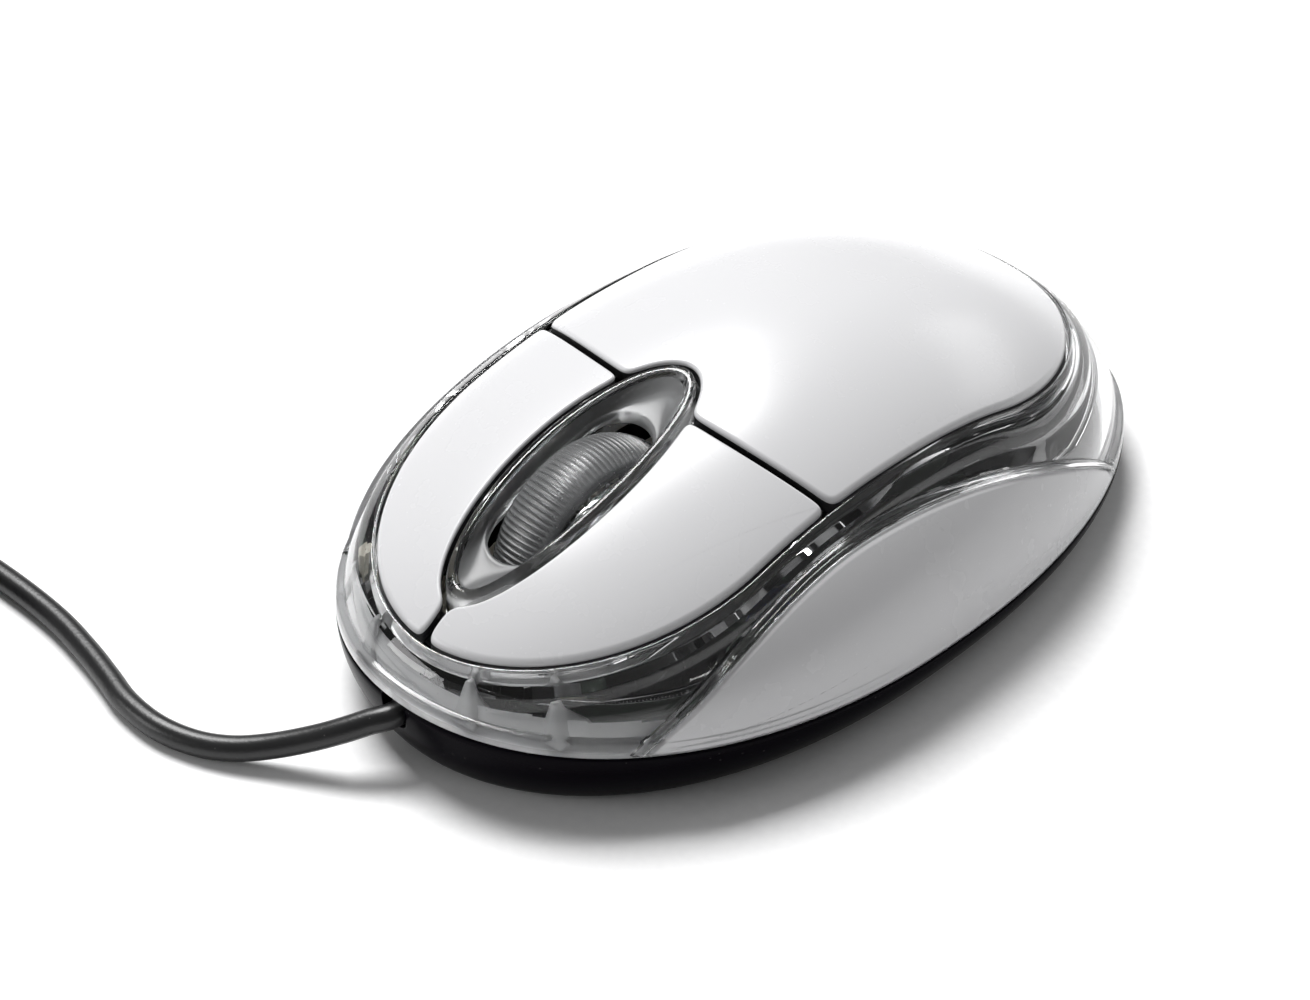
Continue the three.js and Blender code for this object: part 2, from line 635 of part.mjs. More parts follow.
// The hub: a rim that carries the tyre, a web with slots that chop the encoder's light, and the axle.
function wheelHub() {
  const rim = hubRim();
  const reach = [
    [0, AXLE_REACH], [AXLE_RADIUS, AXLE_REACH], [AXLE_RADIUS, HUB_BOSS_REACH],
    [HUB_BOSS, HUB_BOSS_REACH], [HUB_BOSS, WEB / 2], [rim - RIM_DEPTH, WEB / 2],
    [rim - RIM_DEPTH, WHEEL_WIDTH / 2], [rim, WHEEL_WIDTH / 2],
  ];
  const mirrored = reach.map(([r, x]) => [r, -x]);
  const section = [...mirrored, ...reach.reverse()].map(([r, x]) => new THREE.Vector2(r, x));
  const hub = solid(new THREE.LatheGeometry(section, 24).rotateZ(-Math.PI / 2));
  const middle = (rim - RIM_DEPTH + HUB_BOSS) / 2;
  const slots = Array.from({ length: WEB_SLOTS }, (_, i) => {
    const slot = new THREE.BoxGeometry(2 * WEB, WEB_SLOT, WEB_SLOT_LENGTH).translate(0, 0, middle);
    return solid(slot.rotateX((2 * Math.PI * i) / WEB_SLOTS));
  });
  return surface(hub.subtract(join(slots)));
}

function wheelBezel() {
  const dish = bezelOutline(-BEZEL_RIM).subtract(dome(BEZEL_DISH));
  const bowl = layer(0, BEZEL_DISH + BEZEL_SKIN).intersect(bezelOutline(0)).subtract(dish);
  const skirt = layer(0, BEZEL_SKIRT).intersect(bezelOutline(0)).subtract(bezelOutline(-BEZEL_RIM));
  const reach = (y) => {
    const rise = skinHeight(0, y, BEZEL_DISH + BEZEL_SKIN) - WHEEL_Z;
    return Math.sqrt(Math.max(0, WHEEL_RADIUS ** 2 - rise ** 2)) + WHEEL_END_CLEARANCE;
  };
  const front = WHEEL_Y - reach(WHEEL_Y - WHEEL_RADIUS);
  const rear = WHEEL_Y + reach(WHEEL_Y + WHEEL_RADIUS / 2);
  const width = WHEEL_WIDTH + 2 * WHEEL_SIDE_CLEARANCE;
  const outline = roundedBar(width, rear - front, width / 2 - 0.01);
  const slot = plan(outline, 0, BEYOND, 5).translate([0, (front + rear) / 2, 0]);
  return bowl.add(skirt).subtract(slot);
}

// ================================================================ wheel cradle
const ARM_OUTER = ARM_X + ARM_WIDTH;
const POST_INNER = ARM_OUTER + TRUNNION_CLEARANCE;

function cradleArm(x0) {
  const rise = AXLE_RADIUS + GAP + 1;
  const shape = polygon([
    [CRADLE_PIVOT_Y + rise, CRADLE_PIVOT_Z - rise],
    [CRADLE_PIVOT_Y + rise, CRADLE_PIVOT_Z + rise],
    [WHEEL_Y + rise, WHEEL_Z + rise],
    [WHEEL_Y - rise, WHEEL_Z + rise],
    [CRADLE_FRONT_Y, WHEEL_Z - rise],
    [CRADLE_FRONT_Y, WHEEL_Z - rise - CRADLE_BAR],
    [WHEEL_Y - rise, WHEEL_Z - rise],
    [WHEEL_Y + rise, WHEEL_Z - rise],
  ]);
  return profile(shape, x0, x0 + ARM_WIDTH);
}

function wheelCradle() {
  const tabZ = TACT_TOP + TACT_RISE + GAP;
  const tab = block([ARM_X, TACT_X + 1], [TACT_Y - TAB_WIDTH / 2, TACT_Y + TAB_WIDTH / 2], [tabZ, tabZ + TAB_THICK]);
  const frontZ = WHEEL_Z - AXLE_RADIUS - GAP - 1;
  const front = block([-ARM_OUTER, ARM_OUTER], [CRADLE_FRONT_Y, CRADLE_FRONT_Y + CRADLE_BAR],
    [frontZ - CRADLE_BAR, frontZ]);
  const rear = block([-ARM_OUTER, ARM_OUTER], [CRADLE_PIVOT_Y, CRADLE_PIVOT_Y + CRADLE_BAR],
    [CRADLE_PIVOT_Z - CRADLE_BAR, CRADLE_PIVOT_Z + CRADLE_BAR]);
  const reach = POST_INNER + TRUNNION_POST[0];
  const trunnions = rod("x", TRUNNION_RADIUS, [-reach, CRADLE_PIVOT_Y, CRADLE_PIVOT_Z], 2 * reach);
  const middle = block([-ARM_X, ARM_X], [CRADLE_PIVOT_Y - 3, CRADLE_PIVOT_Y], [0, BEYOND]);
  const bearing = rod("x", AXLE_RADIUS + GAP, [-BEYOND, WHEEL_Y, WHEEL_Z], 2 * BEYOND);
  const arms = [cradleArm(ARM_X), cradleArm(-ARM_OUTER)];
  return join([...arms, tab, front, rear, trunnions.subtract(middle)]).subtract(bearing);
}

function trunnionPosts() {
  const [width, length] = TRUNNION_POST;
  const bore = rod("x", TRUNNION_RADIUS + GAP, [-BEYOND, CRADLE_PIVOT_Y, CRADLE_PIVOT_Z], 2 * BEYOND);
  const height = CRADLE_PIVOT_Z + length / 2 - FLOOR_TOP + GAP;
  return Object.values(SIDES).map((side) =>
    standing([width, length, height], side * (POST_INNER + width / 2), CRADLE_PIVOT_Y, FLOOR_TOP - GAP)
      .subtract(bore),
  );
}

// A steel wire from the cradle's rear bar to just behind the hub, which gives the wheel its clicks.
function detentSpring() {
  const x = (ARM_X + WHEEL_WIDTH / 2) / 2;
  const start = CRADLE_PIVOT_Y - GAP - WIRE;
  return tube([
    [x, start, CRADLE_PIVOT_Z],
    [x, start - 2, CRADLE_PIVOT_Z + 2.5],
    [x, WHEEL_Y + 6, WHEEL_Z + 3],
    [x, WHEEL_Y + 2, WHEEL_Z + HUB_BOSS + GAP + WIRE],
  ], WIRE, 8, 6);
}

// A bent steel strip on the board that lifts the front of the cradle.
function liftSpring() {
  const top = WHEEL_Z - AXLE_RADIUS - GAP - 1 - CRADLE_BAR - PRESS_ROOM;
  const [foot, bend] = [WHEEL_Y - 3, WHEEL_Y - 6];
  const shape = polygon([
    [foot, BOARD_SEAT], [foot, BOARD_SEAT + STRIP], [bend, BOARD_SEAT + STRIP],
    [CRADLE_FRONT_Y, top], [CRADLE_FRONT_Y, top - STRIP], [bend, BOARD_SEAT],
  ]);
  return profile(shape, -ARM_OUTER - TRUNNION_POST[0] / 2, -ARM_X - ARM_WIDTH / 2);
}

// ================================================================ circuit board
function circuitBoard() {
  const chamfer = BOARD_CORNER;
  const outline = polygon([
    [BOARD_NOSE_WIDTH, BOARD_FRONT_Y], [BOARD_HALF_WIDTH, BOARD_FRONT_Y + chamfer * 1.6],
    [BOARD_HALF_WIDTH, BOARD_REAR_Y - chamfer], [BOARD_HALF_WIDTH - chamfer, BOARD_REAR_Y],
    [chamfer - BOARD_HALF_WIDTH, BOARD_REAR_Y], [-BOARD_HALF_WIDTH, BOARD_REAR_Y - chamfer],
    [-BOARD_HALF_WIDTH, BOARD_FRONT_Y + chamfer * 1.6], [-BOARD_NOSE_WIDTH, BOARD_FRONT_Y],
  ]);
  const board = plan(outline, BOARD_Z, BOARD_TOP);
  const slotHalf = WHEEL_WIDTH / 2 + BOARD_SLOT * 2;
  const slotRear = WHEEL_Y + WHEEL_RADIUS + BOARD_SLOT;
  const slot = block([-slotHalf, slotHalf], [BOARD_FRONT_Y - 1, slotRear], [0, BEYOND]);
  const [width, length] = TRUNNION_POST.map((size) => size + 2 * BOARD_SLOT);
  const cuts = Object.values(SIDES).map((side) =>
    standing([width, length, BEYOND], side * (POST_INNER + TRUNNION_POST[0] / 2), CRADLE_PIVOT_Y, 0),
  );
  const holes = POST_PLACES.map(([x, y]) => rod("z", SCREW_RADIUS + GAP, [x, y, 0], BEYOND));
  const view = rod("z", LENS_WINDOW[1] / 3, [0, SENSOR_Y, 0], BEYOND);
  return board.subtract(join([slot, ...cuts, ...holes, view]));
}

function screw(x, y, seat, length, headUp) {
  const way = headUp ? 1 : -1;
  const head = rod("z", SCREW_HEAD, [x, y, headUp ? seat : seat - SCREW_HEAD_HEIGHT], SCREW_HEAD_HEIGHT);
  const shank = rod("z", SCREW_RADIUS, [x, y, headUp ? seat - length : seat - GAP], length + GAP, 12);
  const drive = SCREW_HEAD / 3;
  const top = seat + way * SCREW_HEAD_HEIGHT;
  const cross = (w, l) => standing([w, l, SCREW_HEAD_HEIGHT], x, y, top - SCREW_HEAD_HEIGHT / 2);
  return head.add(shank).subtract(cross(drive / 2, drive * 4)).subtract(cross(drive * 4, drive / 2));
}

// ================================================================ optics
function sensorLens() {
  const [width, length, height] = LENS_SIZE;
  const z = FLOOR_TOP + GAP;
  const plate = standing([width, length, height], 0, SENSOR_Y + length / 6, z);
  const window = standing([LENS_WINDOW[0] - 2 * GAP, LENS_WINDOW[1] - 2 * GAP, BASE_FLOOR], 0, SENSOR_Y,
    z - BASE_FLOOR / 2);
  const slope = LED_RADIUS;
  const prism = polygon([
    [LED_Y - LED_LENGTH, z + height - slope], [LED_Y, z + height - slope], [LED_Y, z + height + 1],
    [LED_Y - LED_LENGTH, z + height + 1],
  ]);
  return plate.add(window).subtract(profile(prism, -slope, slope));
}

function ledBody() {
  const from = [0, LED_Y - LED_LENGTH + LED_RADIUS, LED_Z];
  const flange = rod("y", LED_FLANGE, [0, LED_Y - LED_FOOT, LED_Z], LED_FOOT, 16);
  const tip = new THREE.SphereGeometry(LED_RADIUS, 16, 8).translate(...from);
  return join([rod("y", LED_RADIUS, from, LED_LENGTH - LED_RADIUS, 16), flange, solid(tip)]);
}

function ledClip() {
  const [width, , height] = SENSOR_SIZE;
  const inner = [-width / 2 - CLIP_ROOM, width / 2 + CLIP_ROOM];
  const front = SENSOR_Y - SENSOR_SIZE[1] / 2 - CLIP_ROOM;
  const rear = LED_Y + CLIP_ROOM;
  const grow = ([a, b], wall) => [a - wall, b + wall];
  const hood = block(grow(inner, CLIP_WALL), grow([front, rear], CLIP_WALL),
    [BOARD_SEAT, BOARD_SEAT + CLIP_HEIGHT]);
  const room = block(inner, [front, rear], [0, BOARD_SEAT + CLIP_HEIGHT - CLIP_WALL]);
  const view = block([-1, 1], [SENSOR_Y - 3, SENSOR_Y], [BOARD_SEAT + height, BEYOND]);
  return hood.subtract(room).subtract(view);
}

// A chip: its body with a row of legs down each long side, standing on the board.
// A chip held off the board by rows of flat legs down its two long sides.
function chip([width, length, height], x, y, legs) {
  const body = standing([width, length, height - CHIP_STAND], x, y, BOARD_SEAT + CHIP_STAND);
  const pitch = length / legs;
  const row = [width + 2 * LEG_REACH, LEG_WIDTH, CHIP_STAND + LEG_THICK];
  const rows = Array.from({ length: legs }, (_, i) =>
    standing(row, x, y - length / 2 + pitch * (i + 0.5), BOARD_SEAT),
  );
  const under = standing([width - 2 * LEG_ROOT, length, CHIP_STAND], x, y, BOARD_SEAT);
  return join([body, ...rows]).subtract(under);
}

function infraredPart(side) {
  const x = side * (ARM_OUTER + INFRARED_AWAY);
  const face = x - (side * INFRARED_SIZE[0]) / 2;
  const body = standing(INFRARED_SIZE, x, WHEEL_Y, BOARD_SEAT);
  const eyeZ = WHEEL_Z - (hubRim() - RIM_DEPTH + HUB_BOSS) / 2;
  const eye = rod("x", EYE_RADIUS, [face - EYE_LENGTH / 2, WHEEL_Y, eyeZ], EYE_LENGTH, 12);
  return body.add(eye);
}

function connector() {
  const [x, y] = CONNECTOR_PLACE;
  const [width, length, height] = CONNECTOR_SIZE;
  const body = standing(CONNECTOR_SIZE, x, y, BOARD_SEAT);
  const room = [width - 2 * CONNECTOR_WALL, length - 2 * CONNECTOR_WALL, height];
  return body.subtract(standing(room, x, y, BOARD_SEAT + CONNECTOR_FLOOR));
}

function leadWires() {
  const back = RELIEF_BACK_Y + GAP;
  const [x, y] = CONNECTOR_PLACE;
  return tube([
    [CORD_X, back, CORD_Z], [CORD_X - 0.1, back + 0.5, CORD_Z], [-4.4, back + 0.9, CORD_Z + 1],
    [-8.5, y - 3.8, CORD_Z + 3.2], [x + 0.8, y - 3.5, LEADS_TOP], [x, y - 2.2, LEADS_TOP],
  ], LEADS_RADIUS, 16);
}

// ================================================================ cord
function strainRelief() {
  const from = RELIEF_BACK_Y - RELIEF_LENGTH;
  const sleeve = rod("y", RELIEF_RADIUS, [CORD_X, from, CORD_Z], RELIEF_LENGTH, 16);
  return sleeve.subtract(rod("y", CORD / 4, [CORD_X, from + 1, CORD_Z], BEYOND, 8));
}

function cordCable() {
  const start = [CORD_X, RELIEF_BACK_Y - RELIEF_LENGTH - GAP, CORD_Z];
  return tube([start, ...ROUTE], CORD / 2, 30);
}

// The outer shape of the wound turns: a ring with bevelled corners.
function cordCoil() {
  const half = (COIL_ACROSS * CORD) / 2;
  const height = COIL_LAYERS * CORD;
  const cut = CORD / 3;
  const section = [
    [-half, cut], [cut - half, 0], [half - cut, 0], [half, cut],
    [half, height - cut], [half - cut, height], [cut - half, height], [-half, height - cut], [-half, cut],
  ].map(([r, z]) => new THREE.Vector2(COIL_RADIUS + r, z));
  const ring = new THREE.LatheGeometry(section, 32).rotateX(Math.PI / 2);
  return solid(ring.translate(COIL_CENTRE[0], COIL_CENTRE[1], 0));
}

// Half sizes of the strap's inside, across and up, and the middle of its height.
const TIE_HALF = (COIL_ACROSS * CORD) / 2 - TIE_THICK;
const TIE_RISE = (COIL_LAYERS * CORD) / 2 - TIE_THICK;
const TIE_Z = (COIL_LAYERS * CORD) / 2;

function tieBlock(wall, width) {
  const x = COIL_CENTRE[0] - COIL_RADIUS;
  const [half, rise] = [TIE_HALF + wall, TIE_RISE + wall];
  const y = COIL_CENTRE[1];
  return block([x - half, x + half], [y - width / 2, y + width / 2], [TIE_Z - rise, TIE_Z + rise]);
}

// A strap pulled tight round the bundle on its far side.
function coilTie() {
  return tieBlock(TIE_THICK, TIE_WIDTH).subtract(tieBlock(0, BEYOND));
}

// The room that the strap takes out of the bundle's outer shape.
function tieRoom() {
  return tieBlock(COIL_RADIUS / 2, TIE_WIDTH + 2 * GAP).subtract(tieBlock(-GAP, BEYOND));
}

function cordTail() {
  return tube(TAIL_ROUTE, CORD / 2, 12);
}

// The plug lies along +X beyond the end of the cord.
function plugBody() {
  const start = TAIL_ROUTE.at(-1)[0] + GAP;
  const [, y, z] = TAIL_ROUTE.at(-1);
  const neck = rod("x", PLUG_NECK_RADIUS, [start, y, z], PLUG_NECK + 1, 16);
  const [length, width, height] = PLUG_GRIP;
  return neck.add(alongX(roundedBar(width, height, 2.2), start + PLUG_NECK, length, y, z));
}

function alongX(shape, x, length, y, z) {
  return profile(shape, x, x + length, 4).translate([0, y, z]);
}

function plugShell() {
  const [, y, z] = TAIL_ROUTE.at(-1);
  const [length, width, height] = PLUG_SHELL;
  const start = TAIL_ROUTE.at(-1)[0] + PLUG_NECK + PLUG_GRIP[0] + 2 * GAP;
  const outside = alongX(roundedBar(width, height, 0.6), start, length, y, z);
  const inner = [width - 2 * PLUG_SHELL_SKIN, height - 2 * PLUG_SHELL_SKIN];
  return outside.subtract(alongX(roundedBar(...inner, 0.3), start + PLUG_SHELL_SKIN, length, y, z));
}

function plugTongue() {
  const [, y, z] = TAIL_ROUTE.at(-1);
  const [length, width, height] = PLUG_TONGUE;
  const start = TAIL_ROUTE.at(-1)[0] + PLUG_NECK + PLUG_GRIP[0] + 3 * GAP + PLUG_SHELL_SKIN;
  const top = z + PLUG_SHELL[2] / 2 - PLUG_SHELL_SKIN - GAP;
  return block([start, start + length], [y - width / 2, y + width / 2], [top - height, top]);
}

// ================================================================ assembly
const mouse = new THREE.Group();

const wheel = new THREE.Group();
wheel.position.set(0, WHEEL_Y, WHEEL_Z);
mouse.add(wheel);

function place(name, shape, colour, roughness, metalness = 0, opacity = 1, parent = mouse) {
  const geometry = shape.isBufferGeometry ? shape : surface(shape);
  const material = new THREE.MeshStandardMaterial({
    color: colour, roughness, metalness, opacity, transparent: opacity < 1,
  });
  const mesh = new THREE.Mesh(geometry, material);
  mesh.name = name;
  parent.add(mesh);
}

const WHITE = [0xf4f4f5, 0.18];
const CLEAR = [0xf2f5f6, 0.08, 0, 0.35];
const BLACK = [0x08070c, 0.35];
const BOARD_COLOUR = [0x10251a, 0.5];
const STEEL = [0xb9bcc0, 0.3, 0.9];
const RUBBER = [0x161616, 0.6];
const LEADS = [0x202022, 0.5];

place("base_shell", baseShell(), ...BLACK);
place("clear_body", clearBody(), ...CLEAR);
place("wheel_bezel", wheelBezel(), ...CLEAR);
place("rear_cover", rearCover(), ...WHITE);
place("circuit_board", circuitBoard(), ...BOARD_COLOUR);
place("sensor_chip", chip(SENSOR_SIZE, 0, SENSOR_Y, 4), ...LEADS);
place("sensor_lens", sensorLens(), ...CLEAR);
place("led", ledBody(), 0xd02020, 0.15, 0, 0.8);
place("led_clip", ledClip(), ...BLACK);
place("controller_chip", chip([6.4, 15, 3.2], -14.5, 1, 7), ...LEADS);
place("crystal", standing([3.4, 8, 4.4], 12, 4, BOARD_SEAT), ...STEEL);
place("capacitor", rod("z", 2.5, [13, -11, BOARD_SEAT], 7), 0x1b2a55, 0.35);
place("cable_connector", connector(), 0xe9e6da, 0.5);
place("lead_wires", leadWires(), ...LEADS);
place("infrared_emitter", infraredPart(1), 0x2a2030, 0.3);
place("infrared_detector", infraredPart(-1), ...LEADS);
place("middle_switch_body", tactBody(), ...LEADS);
place("middle_switch_plunger", tactPlunger(), 0xe9e6da, 0.5);
place("wheel_tyre", wheelTyre(), 0xb8babb, 0.35, 0, 0.8, wheel);
place("wheel_hub", wheelHub(), ...CLEAR, wheel);
place("wheel_cradle", wheelCradle(), 0xe9e6da, 0.5);
place("detent_spring", detentSpring(), ...STEEL);
place("lift_spring", liftSpring(), ...STEEL);
place("case_screw", screw(0, CASE_SCREW_Y, CASE_SEAT_Z - GAP, CASE_SCREW_LENGTH, false), ...STEEL);
for (const [name, side] of Object.entries(SIDES)) {
  place(`side_panel_${name}`, sidePanel(side), ...WHITE);
  place(`key_${name}`, key(side), ...WHITE);
  place(`switch_body_${name}`, switchBody(side), ...LEADS);
  place(`switch_plunger_${name}`, switchPlunger(side), 0xc03030, 0.5);
  const [x, y] = POST_PLACES[side > 0 ? 1 : 0];
  place(`board_screw_${name}`, screw(x, y, BOARD_SEAT, BOARD_SCREW_LENGTH, true), ...STEEL);
}
for (const { name, x, y } of feet())
  place(name, footPad(x, y, 0, 0, FOOT_THICK), 0x3a3a3d, 0.6);
place("strain_relief", strainRelief(), ...RUBBER);
place("cord_cable", cordCable(), ...RUBBER);
place("cord_coil", cordCoil().subtract(tieRoom()), ...RUBBER);
place("coil_tie", coilTie(), 0x2b2b2d, 0.7);
place("cord_tail", cordTail(), ...RUBBER);
place("plug_body", plugBody(), ...RUBBER);
place("plug_shell", plugShell(), ...STEEL);
place("plug_tongue", plugTongue(), 0xf0f0ec, 0.5);

export default mouse;
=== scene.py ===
import math
import bpy
import numpy as np
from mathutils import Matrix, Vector


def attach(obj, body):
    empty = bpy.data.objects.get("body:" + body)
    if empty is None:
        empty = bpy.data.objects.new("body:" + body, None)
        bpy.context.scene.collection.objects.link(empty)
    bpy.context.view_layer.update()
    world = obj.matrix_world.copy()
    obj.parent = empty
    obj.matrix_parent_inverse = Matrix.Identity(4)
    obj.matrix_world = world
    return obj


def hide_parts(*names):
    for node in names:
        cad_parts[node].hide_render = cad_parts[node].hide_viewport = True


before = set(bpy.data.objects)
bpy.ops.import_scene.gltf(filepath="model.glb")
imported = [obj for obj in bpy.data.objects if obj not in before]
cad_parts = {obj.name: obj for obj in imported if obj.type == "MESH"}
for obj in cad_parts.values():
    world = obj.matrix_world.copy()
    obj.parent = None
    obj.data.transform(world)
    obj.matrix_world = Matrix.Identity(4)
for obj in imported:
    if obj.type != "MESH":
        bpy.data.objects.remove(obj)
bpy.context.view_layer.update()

# ---------------------------------------------------------------- the table, the light and the camera
# A sheet of matt white card on the table, a big softbox over the mouse's far side, weak ones ahead of its
# nose and behind its tail, and a long lens that looks down on the nose and the left flank.
MM = 0.001
CARD_HALF = 4.0
LENS = 204.467
EYE = np.array([441.266, -435.538, 501.541]) * MM
AIM = np.array([-10.776, -2.204, 3.666]) * MM
WORLD_LIGHT = 0.22


def node_tree(name):
    """A material with only its Principled shader: returns the material, its nodes, links and the shader."""
    made = bpy.data.materials.new(name)
    made.use_nodes = True
    tree = made.node_tree
    return made, tree.nodes, tree.links, tree.nodes["Principled BSDF"]


card, nodes, links, shader = node_tree("white_card")
grain = nodes.new("ShaderNodeTexNoise")
grain.inputs["Scale"].default_value = 900
grain.inputs["Detail"].default_value = 3
place = nodes.new("ShaderNodeTexCoord")
links.new(place.outputs["Object"], grain.inputs["Vector"])
tint = nodes.new("ShaderNodeMixRGB")
tint.inputs["Color1"].default_value = (0.86, 0.86, 0.865, 1)
tint.inputs["Color2"].default_value = (0.94, 0.94, 0.94, 1)
links.new(grain.outputs["Fac"], tint.inputs["Fac"])
links.new(tint.outputs["Color"], shader.inputs["Base Color"])
shader.inputs["Roughness"].default_value = 0.75
shader.inputs["Specular IOR Level"].default_value = 0.2
sheet = bpy.data.meshes.new("card")
corner_signs = [(-1, -1), (1, -1), (1, 1), (-1, 1)]
sheet.from_pydata([(x * CARD_HALF, y * CARD_HALF, 0) for x, y in corner_signs], [], [(0, 1, 2, 3)])
sheet.materials.append(card)
floor = bpy.data.objects.new("card", sheet)
bpy.context.scene.collection.objects.link(floor)

world = bpy.data.worlds.new("studio")
world.use_nodes = True
world.node_tree.nodes["Background"].inputs["Color"].default_value = (1, 1, 1, 1)
world.node_tree.nodes["Background"].inputs["Strength"].default_value = WORLD_LIGHT
bpy.context.scene.world = world
bpy.context.scene.view_settings.view_transform = "Standard"


def softbox(name, place, size, power, aim=(0, 0, 0.01)):
    """A rectangular area light at a place, turned to face a point."""
    light = bpy.data.lights.new(name, "AREA")
    light.shape = "RECTANGLE"
    light.size, light.size_y = size
    light.energy = power
    lamp = bpy.data.objects.new(name, light)
    lamp.location = place
    lamp.rotation_euler = (Vector(aim) - Vector(place)).to_track_quat("-Z", "Y").to_euler()
    bpy.context.scene.collection.objects.link(lamp)


softbox("far_softbox", (-0.41, 0.125, 0.755), (0.50, 0.40), 11.5)
softbox("nose_softbox", (-0.42, -0.62, 0.20), (0.34, 0.22), 1.2)
softbox("tail_softbox", (0.02, 0.62, 0.34), (0.40, 0.20), 0.6)

lens = bpy.data.cameras.new("camera")
lens.sensor_width = 36
lens.lens = LENS
lens.clip_start, lens.clip_end = 0.05, 20
camera = bpy.data.objects.new("camera", lens)
camera.location = EYE
camera.rotation_euler = Vector(AIM - EYE).to_track_quat("-Z", "Y").to_euler()
bpy.context.scene.collection.objects.link(camera)
bpy.context.scene.camera = camera

# ---------------------------------------------------------------- cord
# A round flexible lead, 2.8 mm over its satin black PVC jacket. It leaves the nose, sinks to the table,
# and what isn't needed is wound in three columns and four layers and held by a strap.
CORD = 2.8
REST = CORD / 2 + 0.05
CORD_ROUTE = [
    (-1, -45.9, 6.7), (-1, -49.3, 6.7), (-2.3, -51, 6.2), (-4.1, -53.2, 5.2), (-6.6, -55.6, 3.9),
    (-9.8, -58.4, 2.6), (-13, -60.9, 1.8), (-16.7, -62.8, REST), (-21.3, -63.9, REST), (-26.5, -63.6, REST),
    (-30.5, -62.5, REST), (-35.5, -61.2, REST), (-42, -60, REST), (-50, -59.6, REST), (-60, -59.9, REST),
]
COIL_CENTRE = (-74, -82)
COIL_MIDDLE = 15.5
COIL_ACROSS, COIL_LAYERS = 3, 4
COIL_ENTRY = (-70, -60.7)
COIL_TAIL = [(-67, -102.4, 9), (-61, -103.7, 7), (-55, -104.6, 5.1), (-50, -105, 4.3), (-45.7, -105, 4.2)]
CORD_SIDES, CORD_STEP = 16, 0.9
BLACK_CORD = (0.0075, 0.0075, 0.008)


def paint(piece, *materials):
    for material in materials:
        piece.data.materials.append(material)


def lay_rings(name, rings, first=None, last=None, wrap=False, bands=None):
    """A mesh object, in millimetres, over rings of equally many points: each point is joined to the next on
    its ring and to the one with its number on the next ring. first and last are poles that close the ends,
    wrap joins the last ring to the first, and bands gives each strip's material index."""
    rings = np.asarray(rings, float)
    count, around = rings.shape[:2]
    strips = count if wrap else count - 1
    i = np.arange(strips)[:, None] * around
    j = np.arange(around)[None, :]
    after = (i + around) % (count * around)
    turn = (j + 1) % around
    quads = np.stack([i + j, i + turn, after + turn, after + j], -1).reshape(-1, 4)
    points = [rings.reshape(-1, 3)]
    faces = quads.tolist()
    index = np.repeat(bands if bands is not None else np.zeros(strips, int), around).tolist()
    total = count * around
    ring = np.arange(around)
    for pole, start, way in ((first, 0, -1), (last, (count - 1) * around, 1)):
        if pole is None:
            continue
        points.append(np.asarray(pole, float).reshape(1, 3))
        a, b = start + ring, start + (ring + 1) % around
        fan = np.stack([a, b, np.full(around, total)] if way > 0 else [b, a, np.full(around, total)], -1)
        faces += fan.tolist()
        index += [index[0] if start == 0 else index[strips * around - 1]] * around
        total += 1
    points = np.concatenate(points)
    corners = np.array([f[:3] for f in faces] + [(f[0], f[2], f[3]) for f in faces if len(f) == 4])
    a, b, c = (points[corners[:, k]] for k in range(3))
    if np.einsum("ij,ij->", a, np.cross(b, c)) < 0:
        faces = [f[::-1] for f in faces]
    return make_mesh(name, points, faces, index)


def make_mesh(name, points, faces, index=None):
    """A smooth-shaded mesh object from points in millimetres."""
    mesh = bpy.data.meshes.new(name)
    mesh.from_pydata((np.asarray(points) * MM).tolist(), [], faces)
    mesh.polygons.foreach_set("use_smooth", np.ones(len(mesh.polygons), bool))
    if index is not None:
        mesh.polygons.foreach_set("material_index", np.asarray(index, np.int32))
    mesh.update()
    made = bpy.data.objects.new(name, mesh)
    bpy.context.scene.collection.objects.link(made)
    return made


def smooth_through(knots, spacing):
    """A Catmull-Rom curve through the knots, then points at equal spacing along it."""
    knots = np.asarray(knots, float)
    ends = np.vstack([2 * knots[0] - knots[1], knots, 2 * knots[-1] - knots[-2]])
    t = np.linspace(0, 1, 24, endpoint=False)[:, None]
    legs = []
    for p, q, r, s in zip(ends[:-3], ends[1:-2], ends[2:-1], ends[3:]):
        square, cube = 2 * p - 5 * q + 4 * r - s, 3 * q - p - 3 * r + s
        legs.append(0.5 * (2 * q + (r - p) * t + square * t**2 + cube * t**3))
    return even(np.vstack(legs + [knots[-1:]]), spacing)


def even(line, spacing):
    """The same line with points at equal spacing along it."""
    along = np.concatenate([[0], np.cumsum(np.linalg.norm(np.diff(line, axis=0), axis=1))])
    at = np.linspace(0, along[-1], max(4, int(along[-1] / spacing)))
    return np.stack([np.interp(at, along, line[:, k]) for k in range(3)], -1)


